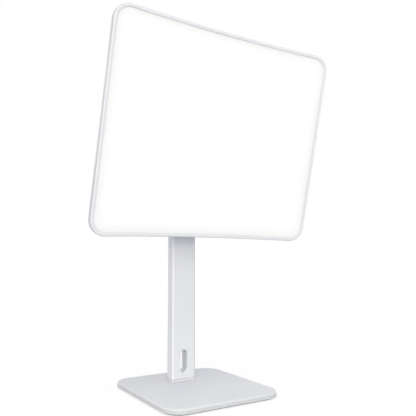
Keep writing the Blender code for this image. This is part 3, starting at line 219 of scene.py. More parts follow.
floor_material = bpy.data.materials.new("floor")
floor_material.use_nodes = True
tree = floor_material.node_tree
tree.nodes.clear()
matt = add(tree, "BsdfDiffuse", {"Color": FLOOR_COLOUR})
white = add(tree, "Emission", {"Strength": FLOOR_GLOW})
floor_place = add(tree, "TexCoord").outputs["Object"]
whiteness = fade(tree, vector_maths(tree, "LENGTH", floor_place), FLOOR_REACH, FLOOR_WHITENESS)
floor_share = maths(tree, "MULTIPLY", looked_at(tree), whiteness)
floor_mix = add(tree, "MixShader", {"Fac": floor_share, 1: matt.outputs[0], 2: white.outputs[0]})
add(tree, "OutputMaterial", {"Surface": floor_mix.outputs[0]})

bm = bmesh.new()
bmesh.ops.create_grid(bm, x_segments=1, y_segments=1, size=FLOOR_SIZE / 2)
floor = as_object("floor", bm)
floor.data.materials.append(floor_material)
print("floor at z =", floor.location.z)

# %% [markdown]
# ## Lamps
#
# White plastic on white needs light that comes from one side more than from the other, or its edges vanish.
# An upright strip light in front and to the left lights the front faces and draws the bright upright edges.
# It stands high enough for the panel to leave its soft shadow on the top of the post. A low box lights the
# post from under the panel, so that this shadow stays short. A small box high in front draws the line along
# the base's edge, and a weak one behind keeps the back from going grey. The lamps are a little warm and the
# room is cool, as in the photo.

# %% Four soft boxes
WARM = (1.0, 0.92, 0.76)
MILD = (1.0, 0.95, 0.86)
# name, distance, degrees to the left of the front, degrees up, target height, width, height, level, colour
SOFT_BOXES = (
    ("strip_box", 2.6, 38, 18, 0.22, 0.36, 1.4, 0.27, WARM),
    ("low_box", 2.6, 30, 6, 0.22, 0.4, 0.6, 0.19, MILD),
    ("high_box", 2.2, 10, 72, 0.0, 0.5, 0.5, 0.07, WARM),
    ("back_box", 2.8, 172, 22, 0.25, 0.9, 0.9, 0.09, MILD),
)


def soft_box(name, distance, left, up, target_height, width, height, level, colour):
    """An area lamp that faces the lamp's axis. A white surface turned to it gets the level of light."""
    turn = math.radians(left)
    rise = math.radians(up)
    direction = Vector((-math.sin(turn) * math.cos(rise), -math.cos(turn) * math.cos(rise), math.sin(rise)))
    data = bpy.data.lights.new(name, "AREA")
    data.shape = "RECTANGLE"
    data.size = width
    data.size_y = height
    data.energy = level * (math.pi * distance) ** 2
    data.color = colour
    lamp = bpy.data.objects.new(name, data)
    lamp.location = direction * distance + Vector((0, 0, target_height))
    lamp.rotation_euler = (-direction).to_track_quat("-Z", "Y").to_euler()
    scene.collection.objects.link(lamp)
    return round(data.energy, 1)


print("watts:", [soft_box(*row) for row in SOFT_BOXES])

# %% [markdown]
# ## Reading sizes from the frame
#
# The head leans forward, so a box round one of its nodes in the room says little. Turned back about the
# hinge, the head stands upright, and a box gives its true width, height and depth. The pieces of the head are
# modelled in that upright frame and then tipped with the same matrix.

# %% The head's own frame
HEAD_TILT = math.radians(14.77)
HEAD_BOW = 0.0155
joints = {joint["name"]: joint for joint in frame["joints"]}
hinge_place = Vector(joints["head_tilt"]["pos_m"])
HEAD = Matrix.Translation(hinge_place) @ Matrix.Rotation(HEAD_TILT, 4, "X")
TO_FRONT = Matrix.Rotation(math.pi / 2, 4, "X")
TO_BACK = Matrix.Rotation(-math.pi / 2, 4, "X")
TO_RIGHT = Matrix.Rotation(math.pi / 2, 4, "Y")
TO_LEFT = Matrix.Rotation(-math.pi / 2, 4, "Y")


def head_box(node):
    """Lowest and highest corner of a node in the head's upright frame."""
    upright = HEAD.inverted()
    points = [upright @ vert.co for vert in frame["nodes"][node].data.vertices]
    return [Vector([pick(point[axis] for point in points) for axis in range(3)]) for pick in (min, max)]


bezel_low, bezel_high = head_box("front_bezel")
head_width = bezel_high.x - bezel_low.x
head_height = bezel_high.z - bezel_low.z
head_depth = bezel_high.y - bezel_low.y - HEAD_BOW
print("head:", [round(1000 * size, 1) for size in (head_width, head_height, head_depth)], "mm")

# %% [markdown]
# ## Modelling helpers
#
# Nearly every piece of this lamp is a rounded slab, a turned part, or a cut in one of these. A slab starts
# as one square face whose four corners are bevelled into arcs, which is then raised. Soft edges are bevels
# of the slab's rim. A turned part is half an outline spun about an axis.

# %% Helpers that model with operators
MERGE = 0.000001


def outwards(bm):
    """Points all faces outwards."""
    bmesh.ops.recalc_face_normals(bm, faces=bm.faces)
    return bm


def raised(bm, faces, distance, along=(0, 0, 1)):
    """Extrudes faces along an axis. Gives the moved face."""
    made = bmesh.ops.extrude_face_region(bm, geom=faces)["geom"]
    verts = [item for item in made if isinstance(item, bmesh.types.BMVert)]
    bmesh.ops.translate(bm, verts=verts, vec=Vector(along) * distance)
    return [item for item in made if isinstance(item, bmesh.types.BMFace)][0]


def slab(width, depth, radius, low, high, steps=12, centre=(0, 0)):
    """A rounded rectangle raised from low to high. Gives the bmesh, its lower face and its upper face."""
    bm = bmesh.new()
    bmesh.ops.create_grid(bm, x_segments=1, y_segments=1, size=0.5)
    bmesh.ops.scale(bm, verts=bm.verts, vec=(width, depth, 1))
    bmesh.ops.translate(bm, verts=bm.verts, vec=(*centre, low))
    corners = bm.verts[:]
    bmesh.ops.bevel(
        bm, geom=corners, offset=radius, segments=steps, profile=0.5, affect="VERTICES", material=-1
    )
    bottom = bm.faces[:][0]
    top = raised(bm, [bottom], high - low)
    return outwards(bm), bottom, top


def rims(*faces):
    """The edges round some faces."""
    return [edge for face in faces for edge in face.edges]


def soften(bm, edges, radius, steps=5):
    """Rounds the given edges."""
    bmesh.ops.bevel(
        bm, geom=list(edges), offset=radius, segments=steps, profile=0.5, affect="EDGES", material=-1,
        clamp_overlap=True,
    )
    return bm


def level_edges(bm, *heights):
    """Edges that lie flat at each of the heights."""
    found = []
    for height in heights:
        found += [edge for edge in bm.edges if all(abs(vert.co.z - height) < MERGE for vert in edge.verts)]
    return found


def inset(bm, face, width):
    """Insets one face by an even width."""
    bmesh.ops.inset_region(bm, faces=[face], thickness=width, use_even_offset=True)


def open_through(bm, bottom, top, wall):
    """Turns a slab into a tube with a wall: insets both end faces and bridges the holes."""
    inset(bm, bottom, wall)
    inset(bm, top, wall)
    edges = rims(bottom, top)
    bmesh.ops.delete(bm, geom=[bottom, top], context="FACES_ONLY")
    bmesh.ops.bridge_loops(bm, edges=edges)
    return bm


def turned(points, steps=48):
    """Spins an outline of (radius, height) points about Z."""
    bm = bmesh.new()
    verts = [bm.verts.new((radius, 0, height)) for radius, height in points]
    edges = [bm.edges.new(pair) for pair in zip(verts, verts[1:])]
    bmesh.ops.spin(
        bm, geom=verts + edges, cent=(0, 0, 0), axis=(0, 0, 1), angle=2 * math.pi, steps=steps, use_merge=True
    )
    bmesh.ops.remove_doubles(bm, verts=bm.verts, dist=MERGE)
    return outwards(bm)


def moved(bm, turn=Matrix.Identity(4), to=(0, 0, 0)):
    """Turns a piece and then carries it to its place."""
    bm.transform(Matrix.Translation(to) @ turn)
    return bm


def bow_head(bm, stations=48):
    """Gives a flat piece of the head its bow: cuts it at even stations and moves the middle back."""
    for station in range(1, stations):
        across = head_width * (station / stations - 0.5)
        everything = bm.verts[:] + bm.edges[:] + bm.faces[:]
        bmesh.ops.bisect_plane(bm, geom=everything, dist=MERGE, plane_co=(across, 0, 0), plane_no=(1, 0, 0))
    for vert in bm.verts:
        vert.co.y += HEAD_BOW * (1 - (2 * vert.co.x / head_width) ** 2)
    return bm


def piece(name, bm, material, body, slot, *nodes, smooth=35):
    """Makes the finished object, shades it, and lets it ride on its body in place of its nodes."""
    obj = as_object(name, bm)
    mesh = obj.data
    mesh.materials.append(material)
    mesh.shade_smooth()
    mesh.set_sharp_from_angle(angle=math.radians(smooth))
    weighted = obj.modifiers.new("even shading", "WEIGHTED_NORMAL")
    weighted.keep_sharp = True
    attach(obj, body)
    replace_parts(obj, *nodes)
    print(name, len(mesh.polygons), "faces")
    return obj


# %% [markdown]
# ## Shared surface effects
#
# Sprayed powder paint has a faint orange peel, moulded plastic repeats the spark-eroded grain of its mould,
# and turned metal keeps fine marks of the tool. All are tiny bumps on Object coordinates, so they have the
# same scale on every piece. They are built once as node groups, with their scale and depth as inputs.

# %% Node groups for paint, grain and turned metal


def new_group(name, vectors, numbers, results):
    """An empty shader group with named inputs and outputs. Gives it, what comes in and what goes out."""
    group = bpy.data.node_groups.new(name, "ShaderNodeTree")
    for label in vectors:
        group.interface.new_socket(label, in_out="INPUT", socket_type="NodeSocketVector")
    for label, value in numbers.items():
        socket = group.interface.new_socket(label, in_out="INPUT", socket_type="NodeSocketFloat")
        socket.default_value = value
    for label in results:
        group.interface.new_socket(label, in_out="OUTPUT", socket_type="NodeSocketFloat")
    return group, group.nodes.new("NodeGroupInput").outputs, group.nodes.new("NodeGroupOutput").inputs


def surface_group(name, scale):
    """An empty group for a surface: a height for the bumps, and patches for colour and gloss."""
    return new_group(name, ["Vector"], {"Scale": scale, "Depth": 1.0}, ["Height", "Patches"])


def noise(tree, vector, scale, detail, rough=0.5):
    """A noise texture on a vector."""
    inputs = {"Vector": vector, "Scale": scale, "Detail": detail, "Roughness": rough}
    return add(tree, "TexNoise", inputs).outputs["Fac"]


FINER = 3.1
FINE_SHARE = 0.35
orange_peel, given, result = surface_group("orange peel", 900.0)
coarse = noise(orange_peel, given["Vector"], given["Scale"], 1.5)
fine = noise(orange_peel, given["Vector"], maths(orange_peel, "MULTIPLY", given["Scale"], FINER), 2.0)
height = maths(orange_peel, "MULTIPLY_ADD", fine, FINE_SHARE, coarse)
put(orange_peel, result["Height"], maths(orange_peel, "MULTIPLY", height, given["Depth"]))
put(orange_peel, result["Patches"], noise(orange_peel, given["Vector"], 14.0, 3.0, 0.6))

mould_grain, given, result = surface_group("mould grain", 3200.0)
inputs = {"Vector": given["Vector"], "Scale": given["Scale"]}
cells = add(mould_grain, "TexVoronoi", inputs, feature="SMOOTH_F1")
pits = noise(mould_grain, given["Vector"], given["Scale"], 2.0)
height = maths(mould_grain, "ADD", cells.outputs["Distance"], pits)
put(mould_grain, result["Height"], maths(mould_grain, "MULTIPLY", height, given["Depth"]))
put(mould_grain, result["Patches"], noise(mould_grain, given["Vector"], 9.0, 4.0, 0.65))

turned_marks, given, result = surface_group("turned marks", 2600.0)
stretched = add(turned_marks, "Mapping", {"Vector": given["Vector"], "Scale": (1.0, 1.0, 0.15)})
scratches = noise(turned_marks, stretched.outputs[0], given["Scale"], 4.0, 0.7)
put(turned_marks, result["Height"], maths(turned_marks, "MULTIPLY", scratches, given["Depth"]))
put(turned_marks, result["Patches"], noise(turned_marks, given["Vector"], 160.0, 3.0, 0.6))
print("groups:", [group.name for group in bpy.data.node_groups])

# %% [markdown]
# ## Painted light and shade by place
#
# Some painted light and shade belongs to a place on the lamp, such as painted shade inside a slot or a
# painted highlight along an edge. Two more groups measure places. One gives a mask that grows with the
# distance from a level on an axis. The other tells how far a point lies inside a rounded rectangle in the XZ
# plane.

# %% Node groups that measure a place
place_fade, given, result = new_group(
    "place fade", ["Vector", "Axis"], {"Middle": 0.0, "Start": 0.0, "End": 0.001}, ["Mask"]
)
along = vector_maths(place_fade, "DOT_PRODUCT", given["Vector"], given["Axis"])
away = maths(place_fade, "ABSOLUTE", maths(place_fade, "SUBTRACT", along, given["Middle"]))
put(place_fade, result["Mask"], fade(place_fade, away, (given["Start"], given["End"])))

edge_distance, given, result = new_group("edge distance", ["Vector", "Core"], {"Radius": 0.0}, ["Distance"])
flat = vector_maths(edge_distance, "MULTIPLY", given["Vector"], (1.0, 0.0, 1.0))
beside = vector_maths(edge_distance, "ABSOLUTE", flat)
beyond = vector_maths(edge_distance, "SUBTRACT", beside, given["Core"])
past_core = vector_maths(edge_distance, "MAXIMUM", beyond, (0.0, 0.0, 0.0))
corner = vector_maths(edge_distance, "LENGTH", past_core)
parts = add(edge_distance, "SeparateXYZ", {"Vector": beyond}).outputs
side = maths(edge_distance, "MINIMUM", maths(edge_distance, "MAXIMUM", parts["X"], parts["Z"]), 0.0)
out_by = maths(edge_distance, "ADD", corner, side)
put(edge_distance, result["Distance"], maths(edge_distance, "SUBTRACT", given["Radius"], out_by))
print("groups:", len(bpy.data.node_groups))

# %% [markdown]
# ## The finishes
#
# A finish is a Principled BSDF in each material, fed by one of the groups. The group's patches change the
# colour and the roughness a little over the surface, as handling and uneven paint do, and its height goes
# through a Bump node. Painted light and shade by place are mixed in just before the shader.

# %% A maker for painted, moulded and metal finishes


def new_material(name):
    """A material with nodes. Gives it, its tree and the inputs of its shader."""
    material = bpy.data.materials.new(name)
    material.use_nodes = True
    return material, material.node_tree, material.node_tree.nodes["Principled BSDF"].inputs


def emboss(tree, shader, height, depth):
    """Turns a height from 0 to 1 into bumps of a depth in metres."""
    bump = add(tree, "Bump", {"Height": height, "Strength": 1.0, "Distance": depth})
    put(tree, shader["Normal"], bump.outputs[0])


def finish(name, colour, roughness, group, scale, bump, mirror=0.5, metallic=0.0, tint=0.03, spread=0.08):
    """A material of one colour and roughness that vary with a surface group."""
    material, tree, shader = new_material(name)
    where = add(tree, "TexCoord").outputs["Object"]
    surface = add(tree, "Group", node_tree=group)
    put(tree, surface.inputs["Vector"], where)
    put(tree, surface.inputs["Scale"], scale)
    patches = surface.outputs["Patches"]
    low = tuple(channel * (1 - tint) for channel in colour)
    high = tuple(min(channel * (1 + tint), 1) for channel in colour)
    put(tree, shader["Base Color"], mixed(tree, patches, low, high))
    put(tree, shader["Roughness"], maths(tree, "MULTIPLY_ADD", patches, spread, roughness - spread / 2))
    emboss(tree, shader, surface.outputs["Height"], bump)
    shader["Metallic"].default_value = metallic
    shader["Specular IOR Level"].default_value = mirror
    material.diffuse_color = (*colour, 1)
    return material


def shade(material, mask, colour):
    """Paints a tone of light and shade into a finish: another colour where a mask is 0."""
    tree = material.node_tree
    base_colour = tree.nodes["Principled BSDF"].inputs["Base Color"]
    put(tree, base_colour, mixed(tree, mask, colour, base_colour.links[0].from_socket))


def shade_by_place(material, axis, middle, reach, colour):
    """Paints a tone of light and shade into a finish near one level of an axis. Reach is where that starts
    and ends.
    """
    tree = material.node_tree
    near = add(tree, "Group", node_tree=place_fade)
    values = (add(tree, "TexCoord").outputs["Object"], axis, middle, *reach)
    for label, value in zip(("Vector", "Axis", "Middle", "Start", "End"), values):
        put(tree, near.inputs[label], value)
    shade(material, near.outputs["Mask"], colour)


powder_white = finish("powder_white", (0.778, 0.771, 0.802), 0.31, orange_peel, 1100.0, 0.00002)
powder_base = finish("powder_base", (0.749, 0.740, 0.768), 0.45, orange_peel, 1100.0, 0.00002, 0.35)
powder_casting = finish("powder_casting", (0.735, 0.745, 0.77), 0.48, orange_peel, 900.0, 0.00003)
moulded_white = finish("moulded_white", (0.80, 0.805, 0.825), 0.38, mould_grain, 2600.0, 0.000012, 0.4)
moulded_bezel = finish("moulded_bezel", (0.825, 0.825, 0.86), 0.30, mould_grain, 3000.0, 0.000006, 0.45)
moulded_back = finish("moulded_back", (0.77, 0.775, 0.795), 0.44, mould_grain, 1800.0, 0.00003)
moulded_grey = finish("moulded_grey", (0.40, 0.41, 0.43), 0.50, mould_grain, 2200.0, 0.00002)
moulded_black = finish("moulded_black", (0.022, 0.022, 0.024), 0.42, mould_grain, 2600.0, 0.000012)
collar_white = finish("collar_white", (0.763, 0.755, 0.782), 0.42, mould_grain, 2600.0, 0.000012, 0.3)
liner_white = finish("liner_white", (0.79, 0.795, 0.815), 0.40, mould_grain, 2600.0, 0.000012, 0.4)
foam_black = finish("foam_black", (0.05, 0.05, 0.055), 0.90, mould_grain, 1500.0, 0.00008)
white_film = finish("white_film", (0.90, 0.90, 0.91), 0.60, orange_peel, 500.0, 0.00001)
light_strip = finish("light_strip", (0.86, 0.82, 0.55), 0.45, mould_grain, 1500.0, 0.00002)
METAL = {"metallic": 1.0, "mirror": 0.5}
zinc = finish("zinc", (0.62, 0.63, 0.65), 0.30, turned_marks, 2600.0, 0.000004, tint=0.10, **METAL)
brass = finish("brass", (0.78, 0.60, 0.32), 0.28, turned_marks, 2600.0, 0.000004, tint=0.12, **METAL)
print("finishes:", len(bpy.data.materials))

# %% [markdown]
# ## The glowing face
#
# The diffuser is a milky sheet that light bars behind its two ends fill with light. Near the frame it gets a
# little less, which draws a soft rim inside the bezel. The edge distance group measures how far a point lies
# inside the bezel's lip, in the head's upright frame, and a ramp turns that distance into brightness.

# %% Diffuser material with a soft rim
HEAD_CORNER = 0.0266
LIP_WIDTH = 0.0050
RIM_WIDTH = 0.020
RIM_STOPS = (
    (0.0, 0.38), (0.045, 0.53), (0.085, 0.73), (0.165, 0.81), (0.25, 0.855), (0.415, 0.90), (0.65, 0.945),
    (0.83, 0.97), (1.0, 1.0),
)
GLOW_TINT = (1.0, 0.985, 0.98)
GLOW_STRENGTH = 0.45
MILK = (0.565, 0.565, 0.565)
MILK_SPREAD = 0.0265


def inside_outline(tree, inset_by):
    """How far a point of the head lies inside its outline, less an inset."""
    upright = add(tree, "Mapping", {"Rotation": (-HEAD_TILT, 0, 0)}, vector_type="POINT")
    put(tree, upright.inputs["Vector"], add(tree, "TexCoord").outputs["Object"])
    put(tree, upright.inputs["Location"], -(Matrix.Rotation(-HEAD_TILT, 3, "X") @ hinge_place))
    measure = add(tree, "Group", node_tree=edge_distance)
    put(tree, measure.inputs["Vector"], upright.outputs[0])
    put(tree, measure.inputs["Core"], (head_width / 2 - HEAD_CORNER, 1.0, head_height / 2 - HEAD_CORNER))
    put(tree, measure.inputs["Radius"], HEAD_CORNER - inset_by)
    return measure.outputs["Distance"]


diffuser_glow = finish(
    "diffuser_glow", MILK, 0.445, mould_grain, 4200.0, 0.000006, tint=MILK_SPREAD, spread=0.05
)
tree = diffuser_glow.node_tree
inwards = maths(tree, "DIVIDE", inside_outline(tree, LIP_WIDTH), RIM_WIDTH, clamp=True)
ramp = add(tree, "ValToRGB", {"Fac": inwards})
for index, (place_on_ramp, level) in enumerate(RIM_STOPS):
    stops = ramp.color_ramp.elements
    stop = stops[index] if index < 2 else stops.new(place_on_ramp)
    stop.position = place_on_ramp
    stop.color = (*(level * channel for channel in GLOW_TINT), 1)
shader = tree.nodes["Principled BSDF"].inputs
put(tree, shader["Emission Color"], ramp.outputs["Color"])
shader["Emission Strength"].default_value = GLOW_STRENGTH
print("the glow fades over", round(1000 * RIM_WIDTH, 1), "mm inside the lip")

# %% [markdown]
# ## More modelling helpers
#
# Slots, screw wells and vents are cut with the exact boolean, whose result is kept and whose tools are thrown
# away. A slot with round ends is a slab whose corners are as round as it is wide. A ring becomes the rim of
# such a slot when its two halves are pulled apart.

# %% Helpers that cut, find faces and stretch


def evaluated(holder, *spares):
    """The shape that an object has with its modifier, as a bmesh. The objects are thrown away."""
    graph = bpy.context.evaluated_depsgraph_get()
    shaped = bpy.data.meshes.new_from_object(holder.evaluated_get(graph))
    result = bmesh.new()
    result.from_mesh(shaped)
    bpy.data.meshes.remove(shaped)
    for used in (holder, *spares):
        mesh = used.data
        bpy.data.objects.remove(used)
        bpy.data.meshes.remove(mesh)
    return result


def carve(bm, tool, operation="DIFFERENCE"):
    """Cuts a tool out of a piece, or joins the two. Gives a new bmesh."""
    holder = as_object("carving", bm)
    cutter = as_object("carving", tool)
    boolean = holder.modifiers.new("carve", "BOOLEAN")
    boolean.operation = operation
    boolean.solver = "EXACT"
    boolean.object = cutter
    result = evaluated(holder, cutter)
    bmesh.ops.remove_doubles(result, verts=result.verts, dist=MERGE)
    return result


def gather(*pieces):
    """Puts several bmeshes into the first one."""
    first = pieces[0]
    for other in pieces[1:]:
        mesh = bpy.data.meshes.new("gathered")
        other.to_mesh(mesh)
        other.free()
        first.from_mesh(mesh)
        bpy.data.meshes.remove(mesh)
    return first


def flat_face(bm, height):
    """The largest face that lies level at a height."""
    bm.normal_update()
    level = [
        face for face in bm.faces
        if abs(face.normal.z) > 0.99 and abs(face.calc_center_median().z - height) < 0.00001
    ]
    return max(level, key=lambda face: face.calc_area())


def pushed(bm, face, distance):
    """Extrudes a face along Z and leaves nothing behind. Gives the moved face."""
    end = raised(bm, [face], distance)
    if face.is_valid:
        bmesh.ops.delete(bm, geom=[face], context="FACES_ONLY")
    return end


def round_slot(width, length, low, high, steps=14):
    """A block with two round ends, longer along Y, raised from low to high."""
    bm, bottom, top = slab(width, length, width / 2 - MERGE, low, high, steps)
    bmesh.ops.remove_doubles(bm, verts=bm.verts, dist=5 * MERGE)
    return bm


def pull_apart(bm, distance):
    """Moves the two halves of a ring away from each other along Y."""
    for sign in (-1, 1):
        half = [vert for vert in bm.verts if vert.co.y * sign > MERGE]
        bmesh.ops.translate(bm, verts=half, vec=(0, sign * distance / 2, 0))
    return bm


def bar(radius, low, high, steps=40, mouth=0.0):
    """A round bar along Z, wider by the mouth at its upper end."""
    shoulder = [(radius, high - mouth)] if mouth else []
    return turned([(0, low), (radius, low), *shoulder, (radius + mouth, high), (0, high)], steps)


def hexagon(radius, height):
    """A six-sided bar along Z that starts at zero."""
    bm = bmesh.new()
    bmesh.ops.create_circle(bm, segments=6, radius=radius, cap_ends=True)
    pushed(bm, bm.faces[:][0], height)
    bmesh.ops.holes_fill(bm, edges=bm.edges)
    return outwards(bm)


print("cutting helpers are ready")

# %% [markdown]
# ## Base plate and pad
#
# The base is a steel plate with widely rounded corners and a broken upper edge, which catches a bright line
# all the way round. Its lower edge and its rear get less light, and painted shade, two darker tones in its
# colour, says so. A thin foam pad, set in from the edge, lifts it off the table and shows as a dark line.

# %% Base plate and pad
low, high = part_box("base_plate")
BASE_CORNER = 0.0310
BASE_TOP_ROUND = 0.0020
BASE_UNDER_ROUND = 0.0008
EDGE_HEIGHTS = (0.0045, 0.0065)
EDGE_SHADE_COLOUR = (0.67, 0.67, 0.685)
BACK_SHADE_COLOUR = (0.700, 0.688, 0.718)
plate_reach = (high.x, high.y)
plate, bottom, top = slab(high.x - low.x, high.y - low.y, BASE_CORNER, low.z, high.z, 24)
soften(plate, top.edges, BASE_TOP_ROUND, 6)
soften(plate, bottom.edges, BASE_UNDER_ROUND, 3)
# painted shade: the plate darker towards its rear, where the panel's shadow falls
shade_by_place(powder_base, (0, 1, 0), high.y, (0.0, high.y - low.y), BACK_SHADE_COLOUR)
# painted shade: the plate's sides darker near its underside
shade_by_place(powder_base, (0, 0, 1), low.z, EDGE_HEIGHTS, EDGE_SHADE_COLOUR)
piece("base", plate, powder_base, "stand", "painted_steel", "base_plate")

low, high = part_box("base_pad")
PAD_CORNER = 0.0275
PAD_EDGE = 0.0003
PAD_MARGIN = 0.003
pad, bottom, top = slab(high.x - low.x, high.y - low.y, PAD_CORNER, low.z, high.z, 20)
soften(pad, rims(top, bottom), PAD_EDGE, 2)
screw_low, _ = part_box("base_screw_1")
_, screw_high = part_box("base_screw_2")
window_size = (screw_high.x - screw_low.x + 2 * PAD_MARGIN, screw_high.y - screw_low.y + 2 * PAD_MARGIN)
window = round_slot(window_size[1], window_size[0], -PAD_MARGIN, high.z + PAD_MARGIN)
moved(window, Matrix.Rotation(math.pi / 2, 4, "Z"), (0, (screw_low.y + screw_high.y) / 2, 0))
piece("pad", carve(pad, window), foam_black, "stand", "foam_pad", "base_pad")

# %% [markdown]
# ## Painted line of shade at the base
#
# Where a plate nearly touches a table, hardly any light gets in, and the photo shows a thin dark line there.
# So a painted band of shade lies on the floor right beside the base: there a mask lets more of the floor's
# own rendered shading show, which is darker than the white around it even where light falls. The edge
# distance group gives how far a point lies outside the plate's outline, once the floor is turned upright for
# it.

# %% Floor shading beside the base
CONTACT_REACH = (-0.0016, -0.0003)
CONTACT_SHARE = 0.16
tree = floor_material.node_tree
upright = add(tree, "Mapping", {"Vector": floor_place, "Rotation": (math.pi / 2, 0, 0)}, vector_type="POINT")
beside = add(tree, "Group", node_tree=edge_distance)
put(tree, beside.inputs["Vector"], upright.outputs[0])
put(tree, beside.inputs["Core"], (plate_reach[0] - BASE_CORNER, 1.0, plate_reach[1] - BASE_CORNER))
put(tree, beside.inputs["Radius"], BASE_CORNER)
# painted shade: a dark band on the floor along the base's outline
contact = fade(tree, beside.outputs["Distance"], CONTACT_REACH, (1.0, 1.0 - CONTACT_SHARE))
put(tree, floor_mix.inputs["Fac"], maths(tree, "MULTIPLY", floor_share, contact))
print("shade beside the base:", [round(-1000 * reach, 1) for reach in CONTACT_REACH], "mm from its edge")

# %% [markdown]
# ## Post, slot and collar
#
# The post is a drawn rectangular tube with small round edges. One pair of edges gets a painted highlight, a
# little paler than the faces, and the other pair, turned away from the light, gets painted shade, a little
# darker. The slot for the cable goes right through the tube and is lined with two plastic rims, one pushed in
# from each side, with painted shade in the middle where they meet. At its foot a thin plastic collar hides
# the joint with the base, under a painted line of shade at the seam, and a cap closes the upper end.

# %% Post with its cable slot
low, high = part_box("post")
POST_EDGE = 0.0024
POST_WALL = 0.0016
SEAT_GAP = 0.0003
SLOT_LIP = 0.0018
SLOT_WALL = 0.0014
CORNER_BAND = (0.00035, 0.0007)
CORNER_HIGHLIGHT_AND_SHADE = (((1, -1, 0), (0.50, 0.505, 0.53)), ((1, 1, 0), (0.87, 0.875, 0.90)))
post_middle = (low + high) / 2
post_centre = post_middle.xy
post_width = high.x - low.x
post_depth = high.y - low.y
tube, bottom, top = slab(post_width, post_depth, POST_EDGE, low.z, high.z, 8, post_centre)
open_through(tube, bottom, top, POST_WALL)
rim_low, rim_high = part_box("slot_liner_front")
lip_size = Vector((rim_high.x - rim_low.x, 0, rim_high.z - rim_low.z))
slot_size = (lip_size.x - 2 * (SLOT_LIP - SEAT_GAP), lip_size.z - 2 * (SLOT_LIP - SEAT_GAP))
slot_middle = (rim_low.z + rim_high.z) / 2
through = moved(round_slot(*slot_size, -post_depth, post_depth), TO_BACK, (0, post_middle.y, slot_middle))
corner_reach = (post_width + post_depth) / 2 * math.sqrt(0.5) - POST_EDGE * (math.sqrt(2) - 1)
# painted highlight on the front-left and back-right edges, painted shade on the front-right and back-left
# ones
for towards_corner, tone in CORNER_HIGHLIGHT_AND_SHADE:
    diagonal = Vector(towards_corner).normalized()
    band = [corner_reach - inwards for inwards in CORNER_BAND]
    shade_by_place(powder_white, diagonal, diagonal.dot(post_middle), band, tone)
piece("column", carve(tube, through), powder_white, "stand", "painted_post", "post")

# %% Rims of the cable slot
RIM_ROUND = 0.0004
MOUTH_ROUND = 0.0022
RIM_STEPS = 64
CHANNEL_DEPTHS = (0.0, 0.0100)
CHANNEL_SHADE_COLOUR = (0.60, 0.615, 0.65)
# painted shade: the inside of the slot darker towards the middle of the post
shade_by_place(liner_white, (0, 1, 0), post_middle.y, CHANNEL_DEPTHS, CHANNEL_SHADE_COLOUR)
clear_radius = lip_size.x / 2 - SLOT_LIP - SLOT_WALL
wall_radius = clear_radius + SLOT_WALL
lip_radius = wall_radius + SLOT_LIP
lip_low = post_depth / 2 + SEAT_GAP
lip_high = post_middle.y - rim_low.y
outline = [
    (clear_radius, SEAT_GAP / 2), (clear_radius, lip_high), (lip_radius, lip_high), (lip_radius, lip_low),
    (wall_radius, lip_low), (wall_radius, SEAT_GAP / 2), (clear_radius, SEAT_GAP / 2),
]


def circle_edges(edges, radius):
    """Those of the edges that lie on a circle round Z."""
    return [edge for edge in edges if all(abs(vert.co.xy.length - radius) < MERGE for vert in edge.verts)]


RIMS = (("rim_front", "slot_liner_front", TO_FRONT), ("rim_back", "slot_liner_back", TO_BACK))
for name, node, turn in RIMS:
    rim = turned(outline, RIM_STEPS)
    crown = level_edges(rim, lip_high)
    mouth = circle_edges(crown, clear_radius)
    crest = circle_edges(crown, lip_radius)
    soften(rim, mouth, MOUTH_ROUND, 7)
    soften(rim, [edge for edge in crest if edge.is_valid], RIM_ROUND, 5)
    moved(rim, Matrix.Rotation(math.pi / RIM_STEPS, 4, "Z"))
    pull_apart(rim, lip_size.z - lip_size.x)
    moved(rim, turn, (0, post_middle.y, slot_middle))
    piece(name, rim, liner_white, "stand", "white_plastic", node)

# %% Collar and cap
low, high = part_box("foot_collar")
COLLAR_ROUND = 0.0007
SEAM_HEIGHTS = (0.0004, 0.0012)
SEAM_SHADE_COLOUR = (0.50, 0.505, 0.53)
offset = (high.x - low.x - post_width) / 2
collar, bottom, top = slab(
    high.x - low.x, high.y - low.y, POST_EDGE + offset, low.z, high.z, 10, post_centre
)
open_through(collar, bottom, top, offset - SEAT_GAP)
upper = [edge for edge in level_edges(collar, high.z) if edge.is_manifold and edge.calc_length() > 0]
outer = []
for edge in upper:
    middle = (edge.verts[0].co + edge.verts[1].co) / 2
    walls = [face for face in edge.link_faces if abs(face.normal.z) < 0.5]
    if walls and walls[0].normal.dot(middle - Vector((0, post_middle.y, middle.z))) > 0:
        outer.append(edge)
soften(collar, outer, COLLAR_ROUND, 5)
# painted shade: a dark line on the collar just under its top, at the seam with the post
shade_by_place(collar_white, (0, 0, 1), high.z, SEAM_HEIGHTS, SEAM_SHADE_COLOUR)
piece("collar", collar, collar_white, "stand", "white_plastic", "foot_collar")

low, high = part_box("post_cap")
CAP_THICKNESS = 0.003
CAP_ROUND = 0.0012
offset = (high.x - low.x - post_width) / 2
cap_under = high.z - CAP_THICKNESS
cap, bottom, top = slab(
    high.x - low.x, high.y - low.y, POST_EDGE + offset, cap_under, high.z, 10, post_centre
)
soften(cap, top.edges, CAP_ROUND, 5)
under = flat_face(cap, cap_under)
inset(cap, under, offset + POST_WALL + SEAT_GAP)
pushed(cap, under, low.z - cap_under)
piece("column_cap", cap, moulded_white, "stand", "white_plastic", "post_cap")

# %% [markdown]
# ## Screws
#
# All the visible screws have a domed head with a cross recess. One is modelled for each kind: half an outline
# spun into the head and shank, and two crossed, tapered blocks cut out of it. Its copies are turned by
# different angles, because no one lines up screws.

# %% A cross-head screw, and the screw that limits the slide
FIRST_TURN = 0.4
NEXT_TURN = 1.3


